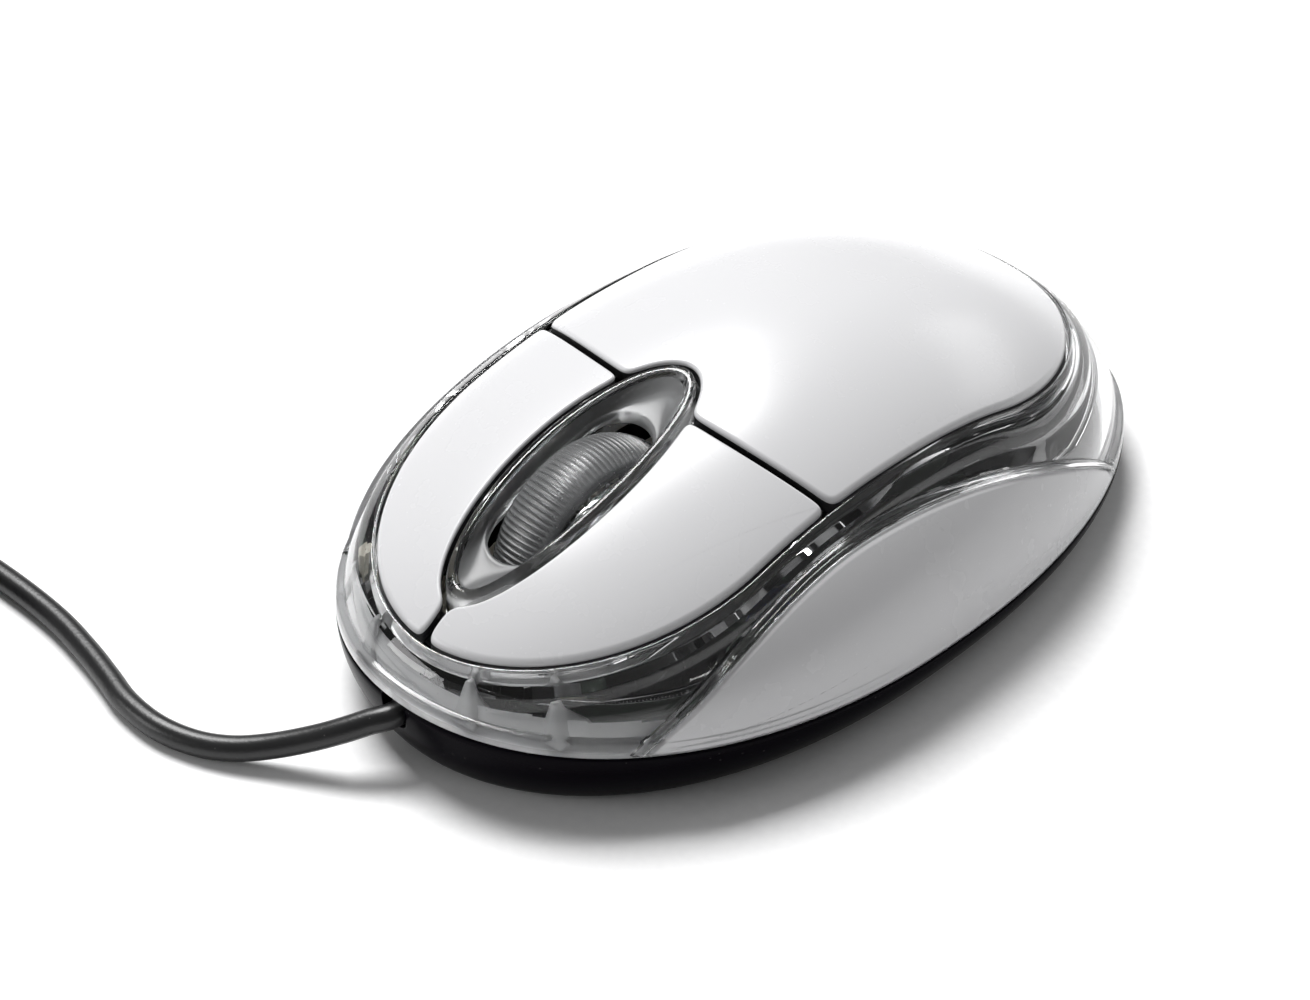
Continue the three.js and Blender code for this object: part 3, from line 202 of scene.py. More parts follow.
def coil_line():
    """The wound turns: radius and height step from place to place in the winding, each step a smooth ramp
    over a tenth of a turn, and every later step starts a little earlier in its turn so that no two cross."""
    columns = np.array([1, 0, -1])
    order = [(l, columns[::-1 if l % 2 else 1][k]) for l in range(COIL_LAYERS) for k in range(COIL_ACROSS)]
    radii = [COIL_MIDDLE + CORD * c for _, c in order]
    heights = [REST + CORD * l for l, _ in order]
    dx, dy = COIL_ENTRY[0] - COIL_CENTRE[0], COIL_ENTRY[1] - COIL_CENTRE[1]
    start = math.atan2(dy, dx)
    turns = len(order) - (start - math.pi / 2) / (2 * math.pi) - 0.5
    t = np.arange(0, turns, 1 / 180)
    radius, height = np.full(len(t), radii[0]), np.full(len(t), heights[0])
    ramp, lead, shift = 0.1, 0.045, 0
    for k in range(1, len(order)):
        rises, rose = heights[k] != heights[k - 1], k > 1 and heights[k - 1] != heights[k - 2]
        shift += int(k > 1 and rises != rose)
        share = np.clip((t - (k - ramp - lead * shift)) / ramp, 0, 1)
        share = share * share * (3 - 2 * share)
        radius += (radii[k] - radii[k - 1]) * share
        height += (heights[k] - heights[k - 1]) * share
    settle = np.clip(t / 0.14, 0, 1)
    radius += (math.hypot(dx, dy) - radii[0]) * (1 - settle * settle * (3 - 2 * settle))
    bearing = start + 2 * math.pi * t
    x, y = COIL_CENTRE[0] + radius * np.cos(bearing), COIL_CENTRE[1] + radius * np.sin(bearing)
    return np.stack([x, y, height], -1)


def tube(name, line, radius, sides):
    """A round bar along a line: circles square to it, their first point level, and a pole at each end."""
    along = np.gradient(line, axis=0)
    along /= np.linalg.norm(along, axis=1)[:, None]
    level = np.cross(along, (0, 0, 1))
    level /= np.linalg.norm(level, axis=1)[:, None]
    up = np.cross(level, along)
    turn = np.linspace(0, 2 * math.pi, sides, endpoint=False)
    section = level[:, None] * np.cos(turn)[None, :, None] + up[:, None] * np.sin(turn)[None, :, None]
    rings = line[:, None] + section * np.broadcast_to(radius, len(line))[:, None, None]
    return lay_rings(name, rings, first=line[0], last=line[-1])


def gather_finish():
    """A node group that gives a moulded surface its small unevenness: the colour drifts in broad patches and
    gathers fine dust specks, the roughness wanders, and a fine grain and broad waves tilt the normal."""
    group = bpy.data.node_groups.new("moulded_finish", "ShaderNodeTree")
    ins = [("Colour", "NodeSocketColor", (0.5, 0.5, 0.5, 1)), ("Drift", "NodeSocketFloat", 0.1),
           ("Roughness", "NodeSocketFloat", 0.3), ("Wander", "NodeSocketFloat", 0.1),
           ("Grain Scale", "NodeSocketFloat", 2500.0), ("Grain Height", "NodeSocketFloat", 0.05),
           ("Wave Height", "NodeSocketFloat", 0.0), ("Dust", "NodeSocketFloat", 0.2),
           ("Dust Colour", "NodeSocketColor", (0.45, 0.44, 0.42, 1))]
    for name, kind, value in ins:
        group.interface.new_socket(name, in_out="INPUT", socket_type=kind).default_value = value
    outs = [("Colour", "NodeSocketColor"), ("Roughness", "NodeSocketFloat"), ("Normal", "NodeSocketVector")]
    for name, kind in outs:
        group.interface.new_socket(name, in_out="OUTPUT", socket_type=kind)
    new, join = group.nodes.new, group.links.new
    source, result = new("NodeGroupInput"), new("NodeGroupOutput")
    where = new("ShaderNodeTexCoord").outputs["Object"]

    def noise(scale, detail):
        made = new("ShaderNodeTexNoise")
        made.inputs["Detail"].default_value = detail
        join(where, made.inputs["Vector"])
        if isinstance(scale, (int, float)):
            made.inputs["Scale"].default_value = scale
        else:
            join(scale, made.inputs["Scale"])
        return made.outputs["Fac"]

    def maths(operation, a, b, c=None):
        made = new("ShaderNodeMath")
        made.operation = operation
        for k, value in enumerate([a, b] if c is None else [a, b, c]):
            if isinstance(value, (int, float)):
                made.inputs[k].default_value = value
            else:
                join(value, made.inputs[k])
        return made.outputs[0]

    broad = noise(45.0, 3)
    fine = noise(source.outputs["Grain Scale"], 4)
    shade = new("ShaderNodeMixRGB")
    shade.blend_type = "MULTIPLY"
    join(maths("MULTIPLY", broad, source.outputs["Drift"]), shade.inputs["Fac"])
    join(source.outputs["Colour"], shade.inputs["Color1"])
    shade.inputs["Color2"].default_value = (0.55, 0.55, 0.57, 1)
    speck = new("ShaderNodeTexVoronoi")
    speck.inputs["Scale"].default_value = 900
    join(where, speck.inputs["Vector"])
    dot = maths("LESS_THAN", speck.outputs["Distance"], maths("MULTIPLY", noise(160.0, 2), 0.16))
    dust = maths("MULTIPLY", dot, source.outputs["Dust"])
    dusty = new("ShaderNodeMixRGB")
    join(dust, dusty.inputs["Fac"])
    join(shade.outputs["Color"], dusty.inputs["Color1"])
    join(source.outputs["Dust Colour"], dusty.inputs["Color2"])
    join(dusty.outputs["Color"], result.inputs["Colour"])
    wander = maths("MULTIPLY", maths("SUBTRACT", noise(170.0, 4), 0.5), source.outputs["Wander"])
    rough = maths("ADD", maths("ADD", source.outputs["Roughness"], wander), maths("MULTIPLY", dust, 0.3))
    join(maths("MAXIMUM", rough, 0.0), result.inputs["Roughness"])
    waves = maths("MULTIPLY", noise(38.0, 1), source.outputs["Wave Height"])
    height = maths("MULTIPLY_ADD", fine, source.outputs["Grain Height"], waves)
    bump = new("ShaderNodeBump")
    bump.inputs["Strength"].default_value = 1
    bump.inputs["Distance"].default_value = 0.0001
    join(height, bump.inputs["Height"])
    join(bump.outputs["Normal"], result.inputs["Normal"])
    return group


MOULDED = gather_finish()


def moulded(name, colour, roughness, sockets=None, **finish):
    """A material of the moulded finish; finish holds the group's inputs, sockets the shader's own."""
    made, nodes, links, shader = node_tree(name)
    group = nodes.new("ShaderNodeGroup")
    group.node_tree = MOULDED
    group.inputs["Colour"].default_value = (*colour, 1)
    group.inputs["Roughness"].default_value = roughness
    for key, value in finish.items():
        group.inputs[key.replace("_", " ")].default_value = (*value, 1) if isinstance(value, tuple) else value
    links.new(group.outputs["Colour"], shader.inputs["Base Color"])
    links.new(group.outputs["Roughness"], shader.inputs["Roughness"])
    links.new(group.outputs["Normal"], shader.inputs["Normal"])
    for key, value in (sockets or {}).items():
        shader.inputs[key].default_value = value
    return made


cord_jacket = moulded("satin_jacket", BLACK_CORD, 0.36, Grain_Height=0.25, Dust=0.12, Wander=0.15, Drift=0.3)
line = np.vstack([smooth_through(CORD_ROUTE + [(*COIL_ENTRY, REST)], CORD_STEP)[:-1], coil_line()])
line = np.vstack([line, smooth_through([line[-1], *COIL_TAIL], CORD_STEP)[1:]])
line = even(line, CORD_STEP)
cord = tube("cord", line, CORD / 2, CORD_SIDES)
paint(cord, cord_jacket)
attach(cord, "mouse_body")
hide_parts("cord_cable", "cord_coil", "cord_tail")

# ---------------------------------------------------------------- plug and strap
# The plug's grip is moulded over the end of the lead, with thin rings that let its neck bend; the shell is
# folded from bright steel round a white tongue. A strap of rubber holds the coil.
PLUG_START = -45.7
PLUG_Y, PLUG_Z = -105, 4.2
NECK, NECK_RADIUS = 6, 2.4
GRIP_HALF = (5.7, 3.8)
GRIP_LENGTH = 18
NECK_RINGS = 4
GRIP_RIBS = 5


def squared(half_y, half_z, power, sides):
    """A superellipse: the cosine and sine of the bearing, each raised to 2 / power with its sign kept."""
    turn = np.linspace(0, 2 * math.pi, sides, endpoint=False)
    c, s = np.cos(turn), np.sin(turn)
    return half_y * np.sign(c) * np.abs(c) ** (2 / power), half_z * np.sign(s) * np.abs(s) ** (2 / power)


def plug_rings():
    """Sections along +X: the neck's radius dips between its rings, then swells to the grip, whose ribs are
    shallow dips over the middle of its length and whose end is rounded over."""
    at = np.linspace(0, NECK + GRIP_LENGTH, 150)
    into = np.clip((at - NECK) / 2.2, 0, 1)
    swell = np.sqrt(1 - (1 - into) ** 2)
    dip = 0.35 * (np.cos(at / NECK * NECK_RINGS * 2 * math.pi) < -0.2) * (at < NECK * 0.9)
    middle = (at > NECK + 5) & (at < NECK + 14)
    dip = dip + 0.28 * middle * (np.sin((at - NECK - 5) / 9 * GRIP_RIBS * 2 * math.pi) > 0.25)
    end = np.sqrt(np.clip(1 - np.clip((at - NECK - GRIP_LENGTH + 0.9) / 0.9, 0, 1) ** 2, 0, 1)) * 0.5 + 0.5
    rings = []
    for x, s, d, e in zip(at, swell, dip, end):
        half_y = (NECK_RADIUS + (GRIP_HALF[0] - NECK_RADIUS) * s - d) - 0.6 * (1 - e)
        half_z = (NECK_RADIUS + (GRIP_HALF[1] - NECK_RADIUS) * s - d) - 0.6 * (1 - e)
        y, z = squared(half_y, half_z, 2 + 2.2 * s, 64)
        rings.append(np.stack([np.full(64, PLUG_START + x), PLUG_Y + y, PLUG_Z + z], -1))
    return rings


rings = plug_rings()
plug = lay_rings("plug_grip", rings, first=rings[0].mean(0), last=rings[-1].mean(0))
plug.data.materials.append(moulded("plug_rubber", (0.012, 0.012, 0.013), 0.45, Grain_Height=0.4, Dust=0.25))
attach(plug, "mouse_body")
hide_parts("plug_body")

bright_steel = moulded("bright_steel", (0.62, 0.62, 0.64), 0.22, {"Metallic": 1.0}, Wander=0.25, Drift=0.3,
                       Grain_Height=0.05, Dust=0.1)
tongue_white = moulded("tongue_white", (0.8, 0.8, 0.78), 0.4, Drift=0.2)
strap_rubber = moulded("strap_rubber", (0.02, 0.02, 0.022), 0.6, Grain_Height=0.5, Dust=0.3)


def soften_edges():
    """A geometry node group that merges a solid's corners, shades its faces smooth and keeps the edges that
    turn by more than half a radian sharp."""
    group = bpy.data.node_groups.new("soft_faces", "GeometryNodeTree")
    group.interface.new_socket("Geometry", in_out="INPUT", socket_type="NodeSocketGeometry")
    group.interface.new_socket("Geometry", in_out="OUTPUT", socket_type="NodeSocketGeometry")
    new, join = group.nodes.new, group.links.new
    source, result = new("NodeGroupInput"), new("NodeGroupOutput")
    merge = new("GeometryNodeMergeByDistance")
    merge.inputs["Distance"].default_value = 2e-6
    faces, edges = new("GeometryNodeSetShadeSmooth"), new("GeometryNodeSetShadeSmooth")
    edges.domain = "EDGE"
    edges.inputs["Shade Smooth"].default_value = False
    turn, sharp = new("GeometryNodeInputMeshEdgeAngle"), new("FunctionNodeCompare")
    sharp.operation = "GREATER_THAN"
    sharp.inputs["B"].default_value = 0.5
    join(source.outputs[0], merge.inputs["Geometry"])
    join(merge.outputs["Geometry"], faces.inputs["Geometry"])
    join(faces.outputs["Geometry"], edges.inputs["Geometry"])
    join(turn.outputs["Unsigned Angle"], sharp.inputs["A"])
    join(sharp.outputs["Result"], edges.inputs["Selection"])
    join(edges.outputs["Geometry"], result.inputs[0])
    return group


SOFT_FACES = soften_edges()


def dress(names, finish):
    """Gives CAD nodes their finish, and smooth shading over their curved faces."""
    for name in names.split():
        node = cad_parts[name]
        node.data.materials.clear()
        paint(node, finish)
        node.modifiers.new("soft_faces", "NODES").node_group = SOFT_FACES


dress("plug_shell", bright_steel)
dress("plug_tongue", tongue_white)
dress("coil_tie", strap_rubber)
dress("strain_relief", cord_jacket)

# ---------------------------------------------------------------- white covers
# Two keys and a rear cover, moulded in white ABS and polished; their walls and undersides are painted black,
# painted shade for the deep seams where no light gets. Their edges are rolled over, so each seam shows as a
# fine black line between two soft edges.
HALF_LENGTH = 49
HALF_WIDTH = 30.5
NOSE_FLARE = 0.104
NOSE_ROUND, TAIL_ROUND = 2.06, 2.33
PEAK, PEAK_Y = 31.5, 13
NOSE_DROP, TAIL_DROP = 7.5, 7.1
CROWN = 2.45
NOSE_PARTING, TAIL_PARTING = 8.6, 4.8
FRONT_ELLIPSE = (-19, 21.6, 26.4)
REAR_ELLIPSE = (17, 20.8, 24.4)
SEAM_RADIUS, SEAM_Y = 53.4, -12.6
SEAM_HALF = 0.4
BEZEL_Y, BEZEL_HALF = -24.5, (6.3, 16.8)
BEZEL_GAP = 0.6
COVER_SKIN = 1.6
COVER_ROLL = 0.45
COVER_CORNER = 0.8
WHITE = (0.56, 0.56, 0.57)


def half_width(y):
    return HALF_WIDTH * (1 - NOSE_FLARE * y / HALF_LENGTH)


def parting(y):
    return TAIL_PARTING + (NOSE_PARTING - TAIL_PARTING) * ((1 - y / HALF_LENGTH) / 2) ** 2


def ridge(y):
    ahead = (PEAK_Y - y) / (HALF_LENGTH + PEAK_Y)
    behind = (y - PEAK_Y) / (HALF_LENGTH - PEAK_Y)
    return PEAK - np.where(y < PEAK_Y, NOSE_DROP * ahead**2, TAIL_DROP * behind**2)


def skin_height(x, y, depth=0):
    """Height of the body's skin, set in by a depth. The plan is a superellipse: the reach is 1 on its rim and
    0 in the middle, and the height rises from the parting line to the ridge as a power of 1 - reach**2."""
    power = np.where(y < 0, NOSE_ROUND, TAIL_ROUND)
    across, along = np.abs(x) / (half_width(y) - depth), np.abs(y) / (HALF_LENGTH - depth)
    reach = (across**power + along**power) ** (1 / power)
    return parting(y) + (ridge(y) - depth - parting(y)) * np.maximum(0, 1 - reach**2) ** (1 / CROWN)


def top_outline(grow=0, count=2400):
    """The outline of the white covers: half an ellipse ahead, half an ellipse behind, straight between."""
    turn = np.linspace(-math.pi, math.pi, count, endpoint=False)
    y0 = np.where(turn < 0, FRONT_ELLIPSE[0], REAR_ELLIPSE[0])
    half = np.where(turn < 0, FRONT_ELLIPSE[1], REAR_ELLIPSE[1]) + grow
    reach = np.where(turn < 0, FRONT_ELLIPSE[2], REAR_ELLIPSE[2]) + grow
    loop = np.stack([half * np.cos(turn), y0 + reach * np.sin(turn)], -1)
    return respace(loop, count)


def respace(loop, count):
    """A closed outline with its points at equal spacing."""
    closed = np.vstack([loop, loop[:1]])
    along = np.concatenate([[0], np.cumsum(np.linalg.norm(np.diff(closed, axis=0), axis=1))])
    at = np.linspace(0, along[-1], count, endpoint=False)
    return np.stack([np.interp(at, along, closed[:, k]) for k in range(2)], -1)


def soften(loop, radius):
    """Rounds the corners of an equally spaced closed outline with a Gaussian of that radius."""
    step = np.linalg.norm(loop[1] - loop[0])
    wave = np.fft.fftfreq(len(loop), step)
    keep = np.exp(-2 * (math.pi * wave * radius) ** 2)
    return np.stack([np.fft.ifft(np.fft.fft(loop[:, k]) * keep).real for k in range(2)], -1)


def inset(loop, distance):
    """The outline moved inwards, square to itself; it runs counter-clockwise."""
    along = np.roll(loop, -1, 0) - np.roll(loop, 1, 0)
    along /= np.linalg.norm(along, axis=1)[:, None]
    return loop + distance * np.stack([-along[:, 1], along[:, 0]], -1)


def reach_of(loop, centre, bearings):
    """How far a closed outline is from the centre on each bearing."""
    away = loop - np.asarray(centre)
    turn, far = np.arctan2(away[:, 1], away[:, 0]), np.hypot(away[:, 0], away[:, 1])
    order = np.argsort(turn)
    return np.interp(bearings, turn[order], far[order], period=2 * math.pi)


def ray_to_ellipse(centre, bearings, middle, half, outside=True):
    """Distance along each bearing to an ellipse, far away where the ray misses it: the smaller root of the
    ray put into the ellipse's equation when it is seen from outside, and the larger from inside."""
    dx, dy = np.cos(bearings) / half[0], np.sin(bearings) / half[1]
    px, py = (centre[0] - middle[0]) / half[0], (centre[1] - middle[1]) / half[1]
    a, b, c = dx**2 + dy**2, px * dx + py * dy, px**2 + py**2 - 1
    root = b**2 - a * c
    far = (-b + (-1 if outside else 1) * np.sqrt(np.maximum(root, 0))) / a
    return np.where((root > 0) & (far > 0), far, 1e6)


def cover_outline(centre, side):
    """A cover's outline seen from a point inside it: on each bearing, the nearest of the top's outline, the
    arc of the seam, the bezel's gap and, for a key (side 1 or -1), the line between the keys."""
    bearings = np.linspace(-math.pi, math.pi, 4000, endpoint=False)
    arc_centre = (0, SEAM_Y + SEAM_RADIUS)
    arc = SEAM_RADIUS + (SEAM_HALF if side else -SEAM_HALF)
    opening = [half + BEZEL_GAP for half in BEZEL_HALF]
    limits = [
        reach_of(top_outline(), centre, bearings),
        ray_to_ellipse(centre, bearings, arc_centre, (arc, arc), outside=bool(side)),
        ray_to_ellipse(centre, bearings, (0, BEZEL_Y), opening),
    ]
    if side:
        inward = -side * np.cos(bearings)
        limits.append(np.where(inward > 1e-6, (abs(centre[0]) - SEAM_HALF) / np.maximum(inward, 1e-6), 1e6))
    far = np.min(limits, 0)
    loop = np.stack([centre[0] + far * np.cos(bearings), centre[1] + far * np.sin(bearings)], -1)
    return soften(respace(loop, 1800), COVER_CORNER)[::2]


def crowned_plate(name, loop, centre, skin, thickness, roll, rows=44):
    """A plate that follows a skin: rings from its middle out, a quarter-round rolled edge, a wall down to its
    thickness, and the underside back to the middle. Material 1 covers the wall and the underside."""
    centre = np.asarray(centre, float)
    edge = inset(loop, roll)
    shares = np.sin(np.linspace(0, math.pi / 2, rows + 1))[1:]
    rings = [skin(centre + (edge - centre) * s, 0) for s in shares]
    for turn in np.linspace(0, math.pi / 2, 8)[1:]:
        rings.append(skin(inset(loop, roll * (1 - math.sin(turn))), roll * (1 - math.cos(turn))))
    painted = len(rings)
    for depth in np.linspace(roll, thickness, 4)[1:]:
        rings.append(skin(loop, depth))
    for s in shares[::-3]:
        rings.append(skin(centre + (edge - centre) * s, thickness))
    bands = np.where(np.arange(len(rings) - 1) < painted - 1, 0, 1)
    first, last = skin(centre[None], 0)[0], skin(centre[None], thickness)[0]
    plate = lay_rings(name, rings, first=first, last=last, bands=bands)
    true_normals(plate.data, np.vstack([centre + (edge - centre) * s for s in shares]), skin)
    return plate


def true_normals(mesh, plan, skin, step=0.05):
    """Gives a plate's first points the normal of the skin itself, the cross product of its two slopes, so
    that the uneven faces toward the outline's corners don't show; the other points keep their own."""
    own = np.array([point.normal for point in mesh.vertices])
    across = skin(plan + (step, 0), 0) - skin(plan - (step, 0), 0)
    along = skin(plan + (0, step), 0) - skin(plan - (0, step), 0)
    true = np.cross(across, along)
    true /= np.maximum(np.linalg.norm(true, axis=1), 1e-9)[:, None]
    true *= np.sign(np.einsum("ij,ij->i", true, own[: len(true)]))[:, None]
    own[: len(true)] = true
    mesh.normals_split_custom_set_from_vertices(own.tolist())


def top_skin(plan, depth):
    return np.column_stack([plan, skin_height(plan[:, 0], plan[:, 1], depth)])


white_gloss = moulded("polished_white", WHITE, 0.27, {"Coat Weight": 0.08, "Coat Roughness": 0.2},
                      Drift=0.03, Wander=0.05, Grain_Height=0.006, Wave_Height=0.8, Dust=0.05,
                      Dust_Colour=(0.5, 0.5, 0.5))
# Painted shade: black for the covers' walls and undersides, standing in for the shadow deep in the seams.
painted_seam_shade = moulded("painted_seam_shade", (0.006, 0.006, 0.007), 0.6, Grain_Height=0.3)

COVERS = (("key_left", "left_key", (13, -36), 1), ("key_right", "right_key", (-13, -36), -1),
          ("rear_cover", "mouse_body", (0, 15), 0))
for name, body, centre, side in COVERS:
    loop = cover_outline(centre, side)
    cover = crowned_plate(name + "_shell", loop, centre, top_skin, COVER_SKIN, COVER_ROLL)
    # The second material, on the walls and undersides, is the black painted shade of the seams.
    paint(cover, white_gloss, painted_seam_shade)
    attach(cover, body)
    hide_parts(name)

# ---------------------------------------------------------------- clear body
# The crystal polystyrene shell between the base and the covers: a thick flange on the parting line, a thin
# wall, a flush ledge round the covers, and a lip under them that carries the keys and the deck. The inner
# face behind the flange and all over the right half of the nose is painted a pale frosted white: painted
# light, standing in for the light that the thick flange gathers and the nose wall's inner face catches.
CLEAR_WALL = 2.4
LEDGE_WIDTH, LEDGE_STEP = 2.7, 0.7
FLANGE = 2.2
LIP_WIDTH, LIP_UNDER, LIP_FLOOR = 1.5, 4.4, 12.5
COVER_GAP = 0.3
SHELL_LIFT = 0.1
AROUND = 720
INNER_ROWS = 24
PAINTED_LIGHT_RISE = 3.2
PAINTED_LIGHT_CORNER = (1, -24)
BEARINGS = np.linspace(-math.pi, math.pi, AROUND, endpoint=False)


def plan_loop(depth, count=2400):
    """The rim of the body's plan, set in by a depth: a superellipse whose width shrinks towards the tail."""
    turn = np.linspace(-math.pi, math.pi, count, endpoint=False)
    u, v = np.cos(turn), np.sin(turn)
    power = 2 / np.where(v < 0, NOSE_ROUND, TAIL_ROUND)
    y = (HALF_LENGTH - depth) * np.sign(v) * np.abs(v) ** power
    return np.stack([(half_width(y) - depth) * np.sign(u) * np.abs(u) ** power, y], -1)


def at_reach(far, height):
    x, y = far * np.cos(BEARINGS), far * np.sin(BEARINGS)
    return np.stack([x, y, height(x, y)], -1)


def wall_reach(depth, rise):
    """Distance to the skin on every bearing at a height above the parting line: the rim's distance, times the
    reach that has that height."""
    rim = reach_of(plan_loop(depth), (0, 0), BEARINGS)
    y = rim * np.sin(BEARINGS)
    share = np.clip(rise / (ridge(y) - depth - parting(y)), 0, 1)
    return rim * np.sqrt(1 - share**CROWN)


def wall_ring(depth, rise):
    return at_reach(wall_reach(depth, rise), lambda x, y: parting(y) + rise)


def ledge_ring(grow, depth, floor=-1.0):
    far = reach_of(top_outline(grow), (0, 0), BEARINGS)
    return at_reach(far, lambda x, y: np.maximum(skin_height(x, y, depth), floor))


def skin_rings(outer, inner, depth, floor, rows):
    """Rings on the skin from one reach to another, close together at the rim, where the skin is steep."""
    rings = []
    for turn in np.linspace(0, math.pi / 2, rows + 1)[1:]:
        far = outer + (inner - outer) * (1 - math.cos(turn))
        rings.append(at_reach(far, lambda x, y: np.maximum(skin_height(x, y, depth), floor)))
    return rings


def shell_rings():
    """The shell's closed section, ring by ring: up the flange and the wall, over the ledge, down into the
    covers' pocket, round the lip and down the inner wall."""
    low = SHELL_LIFT
    flange = [(0.3, low), (0.08, low + 0.05), (0, low + 0.25), (0, FLANGE / 2), (0, FLANGE - 0.3),
              (0.08, FLANGE - 0.1), (0.28, FLANGE), (LEDGE_STEP - 0.1, FLANGE + 0.02),
              (LEDGE_STEP, FLANGE + 0.15)]
    rings = [wall_ring(depth, rise) for depth, rise in flange]
    foot = wall_reach(LEDGE_STEP, FLANGE + 0.15)
    edge = reach_of(top_outline(LEDGE_WIDTH + 0.08), (0, 0), BEARINGS)
    rings += skin_rings(foot, np.minimum(edge, foot - 0.05), LEDGE_STEP, 0, 30)
    ledge = [(LEDGE_WIDTH, LEDGE_STEP - 0.15), (LEDGE_WIDTH - 0.06, 0.25), (LEDGE_WIDTH - 0.2, 0.07),
             (LEDGE_WIDTH - 0.42, 0), (1.9, -0.03), (1.4, -0.03), (1.0, -0.03), (COVER_GAP + 0.35, 0.02),
             (COVER_GAP + 0.12, 0.12), (COVER_GAP, 0.35), (COVER_GAP, 0.9), (COVER_GAP, 1.7)]
    rings += [ledge_ring(grow, depth) for grow, depth in ledge]

    def pocket(x, y):
        share = np.clip((y + 3) / 6, 0, 1)
        return skin_height(x, y, 3.0 - 1.1 * share * share * (3 - 2 * share))

    for grow in (COVER_GAP - 0.15, 0, -LIP_WIDTH + 0.25):
        rings.append(at_reach(reach_of(top_outline(grow), (0, 0), BEARINGS), pocket))
    rings += [ledge_ring(-LIP_WIDTH, d) for d in (3.2, 3.7, 4.2)]
    rings += [ledge_ring(-LIP_WIDTH + 0.25, LIP_UNDER, LIP_FLOOR), ledge_ring(0.6, LIP_UNDER, LIP_FLOOR)]
    rim = reach_of(plan_loop(CLEAR_WALL), (0, 0), BEARINGS)
    y = rim * np.sin(BEARINGS)
    top = np.minimum(reach_of(top_outline(LEDGE_WIDTH - 0.2), (0, 0), BEARINGS),
                     wall_reach(CLEAR_WALL, LIP_FLOOR - parting(y)) - 0.1)
    rings.append(at_reach(top - 0.15, lambda x, y: np.maximum(skin_height(x, y, LIP_UNDER), LIP_FLOOR)))
    rings.append(at_reach(top, lambda x, y: np.maximum(skin_height(x, y, LIP_UNDER), LIP_FLOOR) + 0.15))
    foot = wall_reach(CLEAR_WALL, low + 0.3)
    rings += skin_rings(foot, top, CLEAR_WALL, 0, INNER_ROWS)[::-1]
    rings += [wall_ring(CLEAR_WALL, low + 0.3), wall_ring(CLEAR_WALL - 0.15, low)]
    return rings


clear = moulded("clear_crystal", (0.975, 0.98, 0.985), 0.015,
                {"Transmission Weight": 1.0, "IOR": 1.5}, Drift=0.02, Wander=0.03, Grain_Height=0.0,
                Wave_Height=0.6, Dust=0.35, Dust_Colour=(0.35, 0.35, 0.35))
# Painted light: a pale, half-opaque white that stands in for light gathered in the thick clear plastic.
pale_painted_light = moulded("crystal_painted_light", (0.93, 0.935, 0.94), 0.32, {"Transmission Weight": 0.45, "IOR": 1.5},
                  Drift=0.05, Wander=0.08, Grain_Height=0.05, Wave_Height=0.5, Dust=0.2)
rings = shell_rings()
shell = lay_rings("clear_shell", rings, wrap=True)
paint(shell, clear, pale_painted_light)
middles = np.zeros(len(shell.data.polygons) * 3)
shell.data.polygons.foreach_get("center", middles)
x, y, z = middles.reshape(-1, 3).T / MM
strip = np.arange(len(x)) // AROUND
inner = strip >= len(rings) - INNER_ROWS - 2
corner = (x < PAINTED_LIGHT_CORNER[0]) & (y < PAINTED_LIGHT_CORNER[1])
# Painted light: inner faces low behind the flange and in the nose's right corner take the pale white.
painted_light_faces = inner & ((z < parting(y) + PAINTED_LIGHT_RISE) | corner)
shell.data.polygons.foreach_set("material_index", painted_light_faces.astype(np.int32))
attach(shell, "mouse_body")
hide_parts("clear_body")

# ---------------------------------------------------------------- ribs in the nose
# Gussets moulded with the clear shell inside its nose: wide at the flange, drawn to a point under the ledge.
# They are painted in the same pale white, painted light for the light the clear plastic catches there.
RIB_PLACES = (-15, -7, 7, 15)
RIB_FOOT, RIB_TIP = 3.0, 0.6


def rib_points(x):
    """A gusset across the wall at x: stations up the inside of the wall, each a section from the wall inwards
    whose depth and thickness shrink towards the tip."""
    up = np.linspace(0, 1, 16)
    rows = []
    for u in up:
        rise = 0.5 + (LIP_FLOOR - NOSE_PARTING + 1.2) * u
        depth_in = CLEAR_WALL + 3.2 * (1 - u) ** 1.3 + 0.3
        thick = RIB_FOOT + (RIB_TIP - RIB_FOOT) * u
        loop_out, loop_in = plan_loop(CLEAR_WALL - 0.5), plan_loop(depth_in)
        out_y = np.interp(x, *front_half(loop_out))
        in_y = np.interp(x, *front_half(loop_in))
        z = parting(out_y) + rise
        pull = 0.4 * u
        rows.append([(x - thick / 2, out_y + pull, z), (x + thick / 2, out_y + pull, z),
                     (x + thick / 3, in_y + pull, z - 0.1), (x, in_y + pull + 0.2, z - 0.12),
                     (x - thick / 3, in_y + pull, z - 0.1)])
    return np.array(rows)


def front_half(loop):
    """The nose half of a plan outline as rising x and the y that goes with it."""
    ahead = loop[loop[:, 1] < -10]
    order = np.argsort(ahead[:, 0])
    return ahead[order, 0], ahead[order, 1]


for number, x in enumerate(RIB_PLACES):
    rows = rib_points(x)
    rib = lay_rings(f"nose_rib_{number + 1}", rows, first=rows[0].mean(0), last=rows[-1].mean(0))
    # Painted light: the ribs take the pale white that stands in for light caught in the clear plastic.
    paint(rib, pale_painted_light)
    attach(rib, "mouse_body")

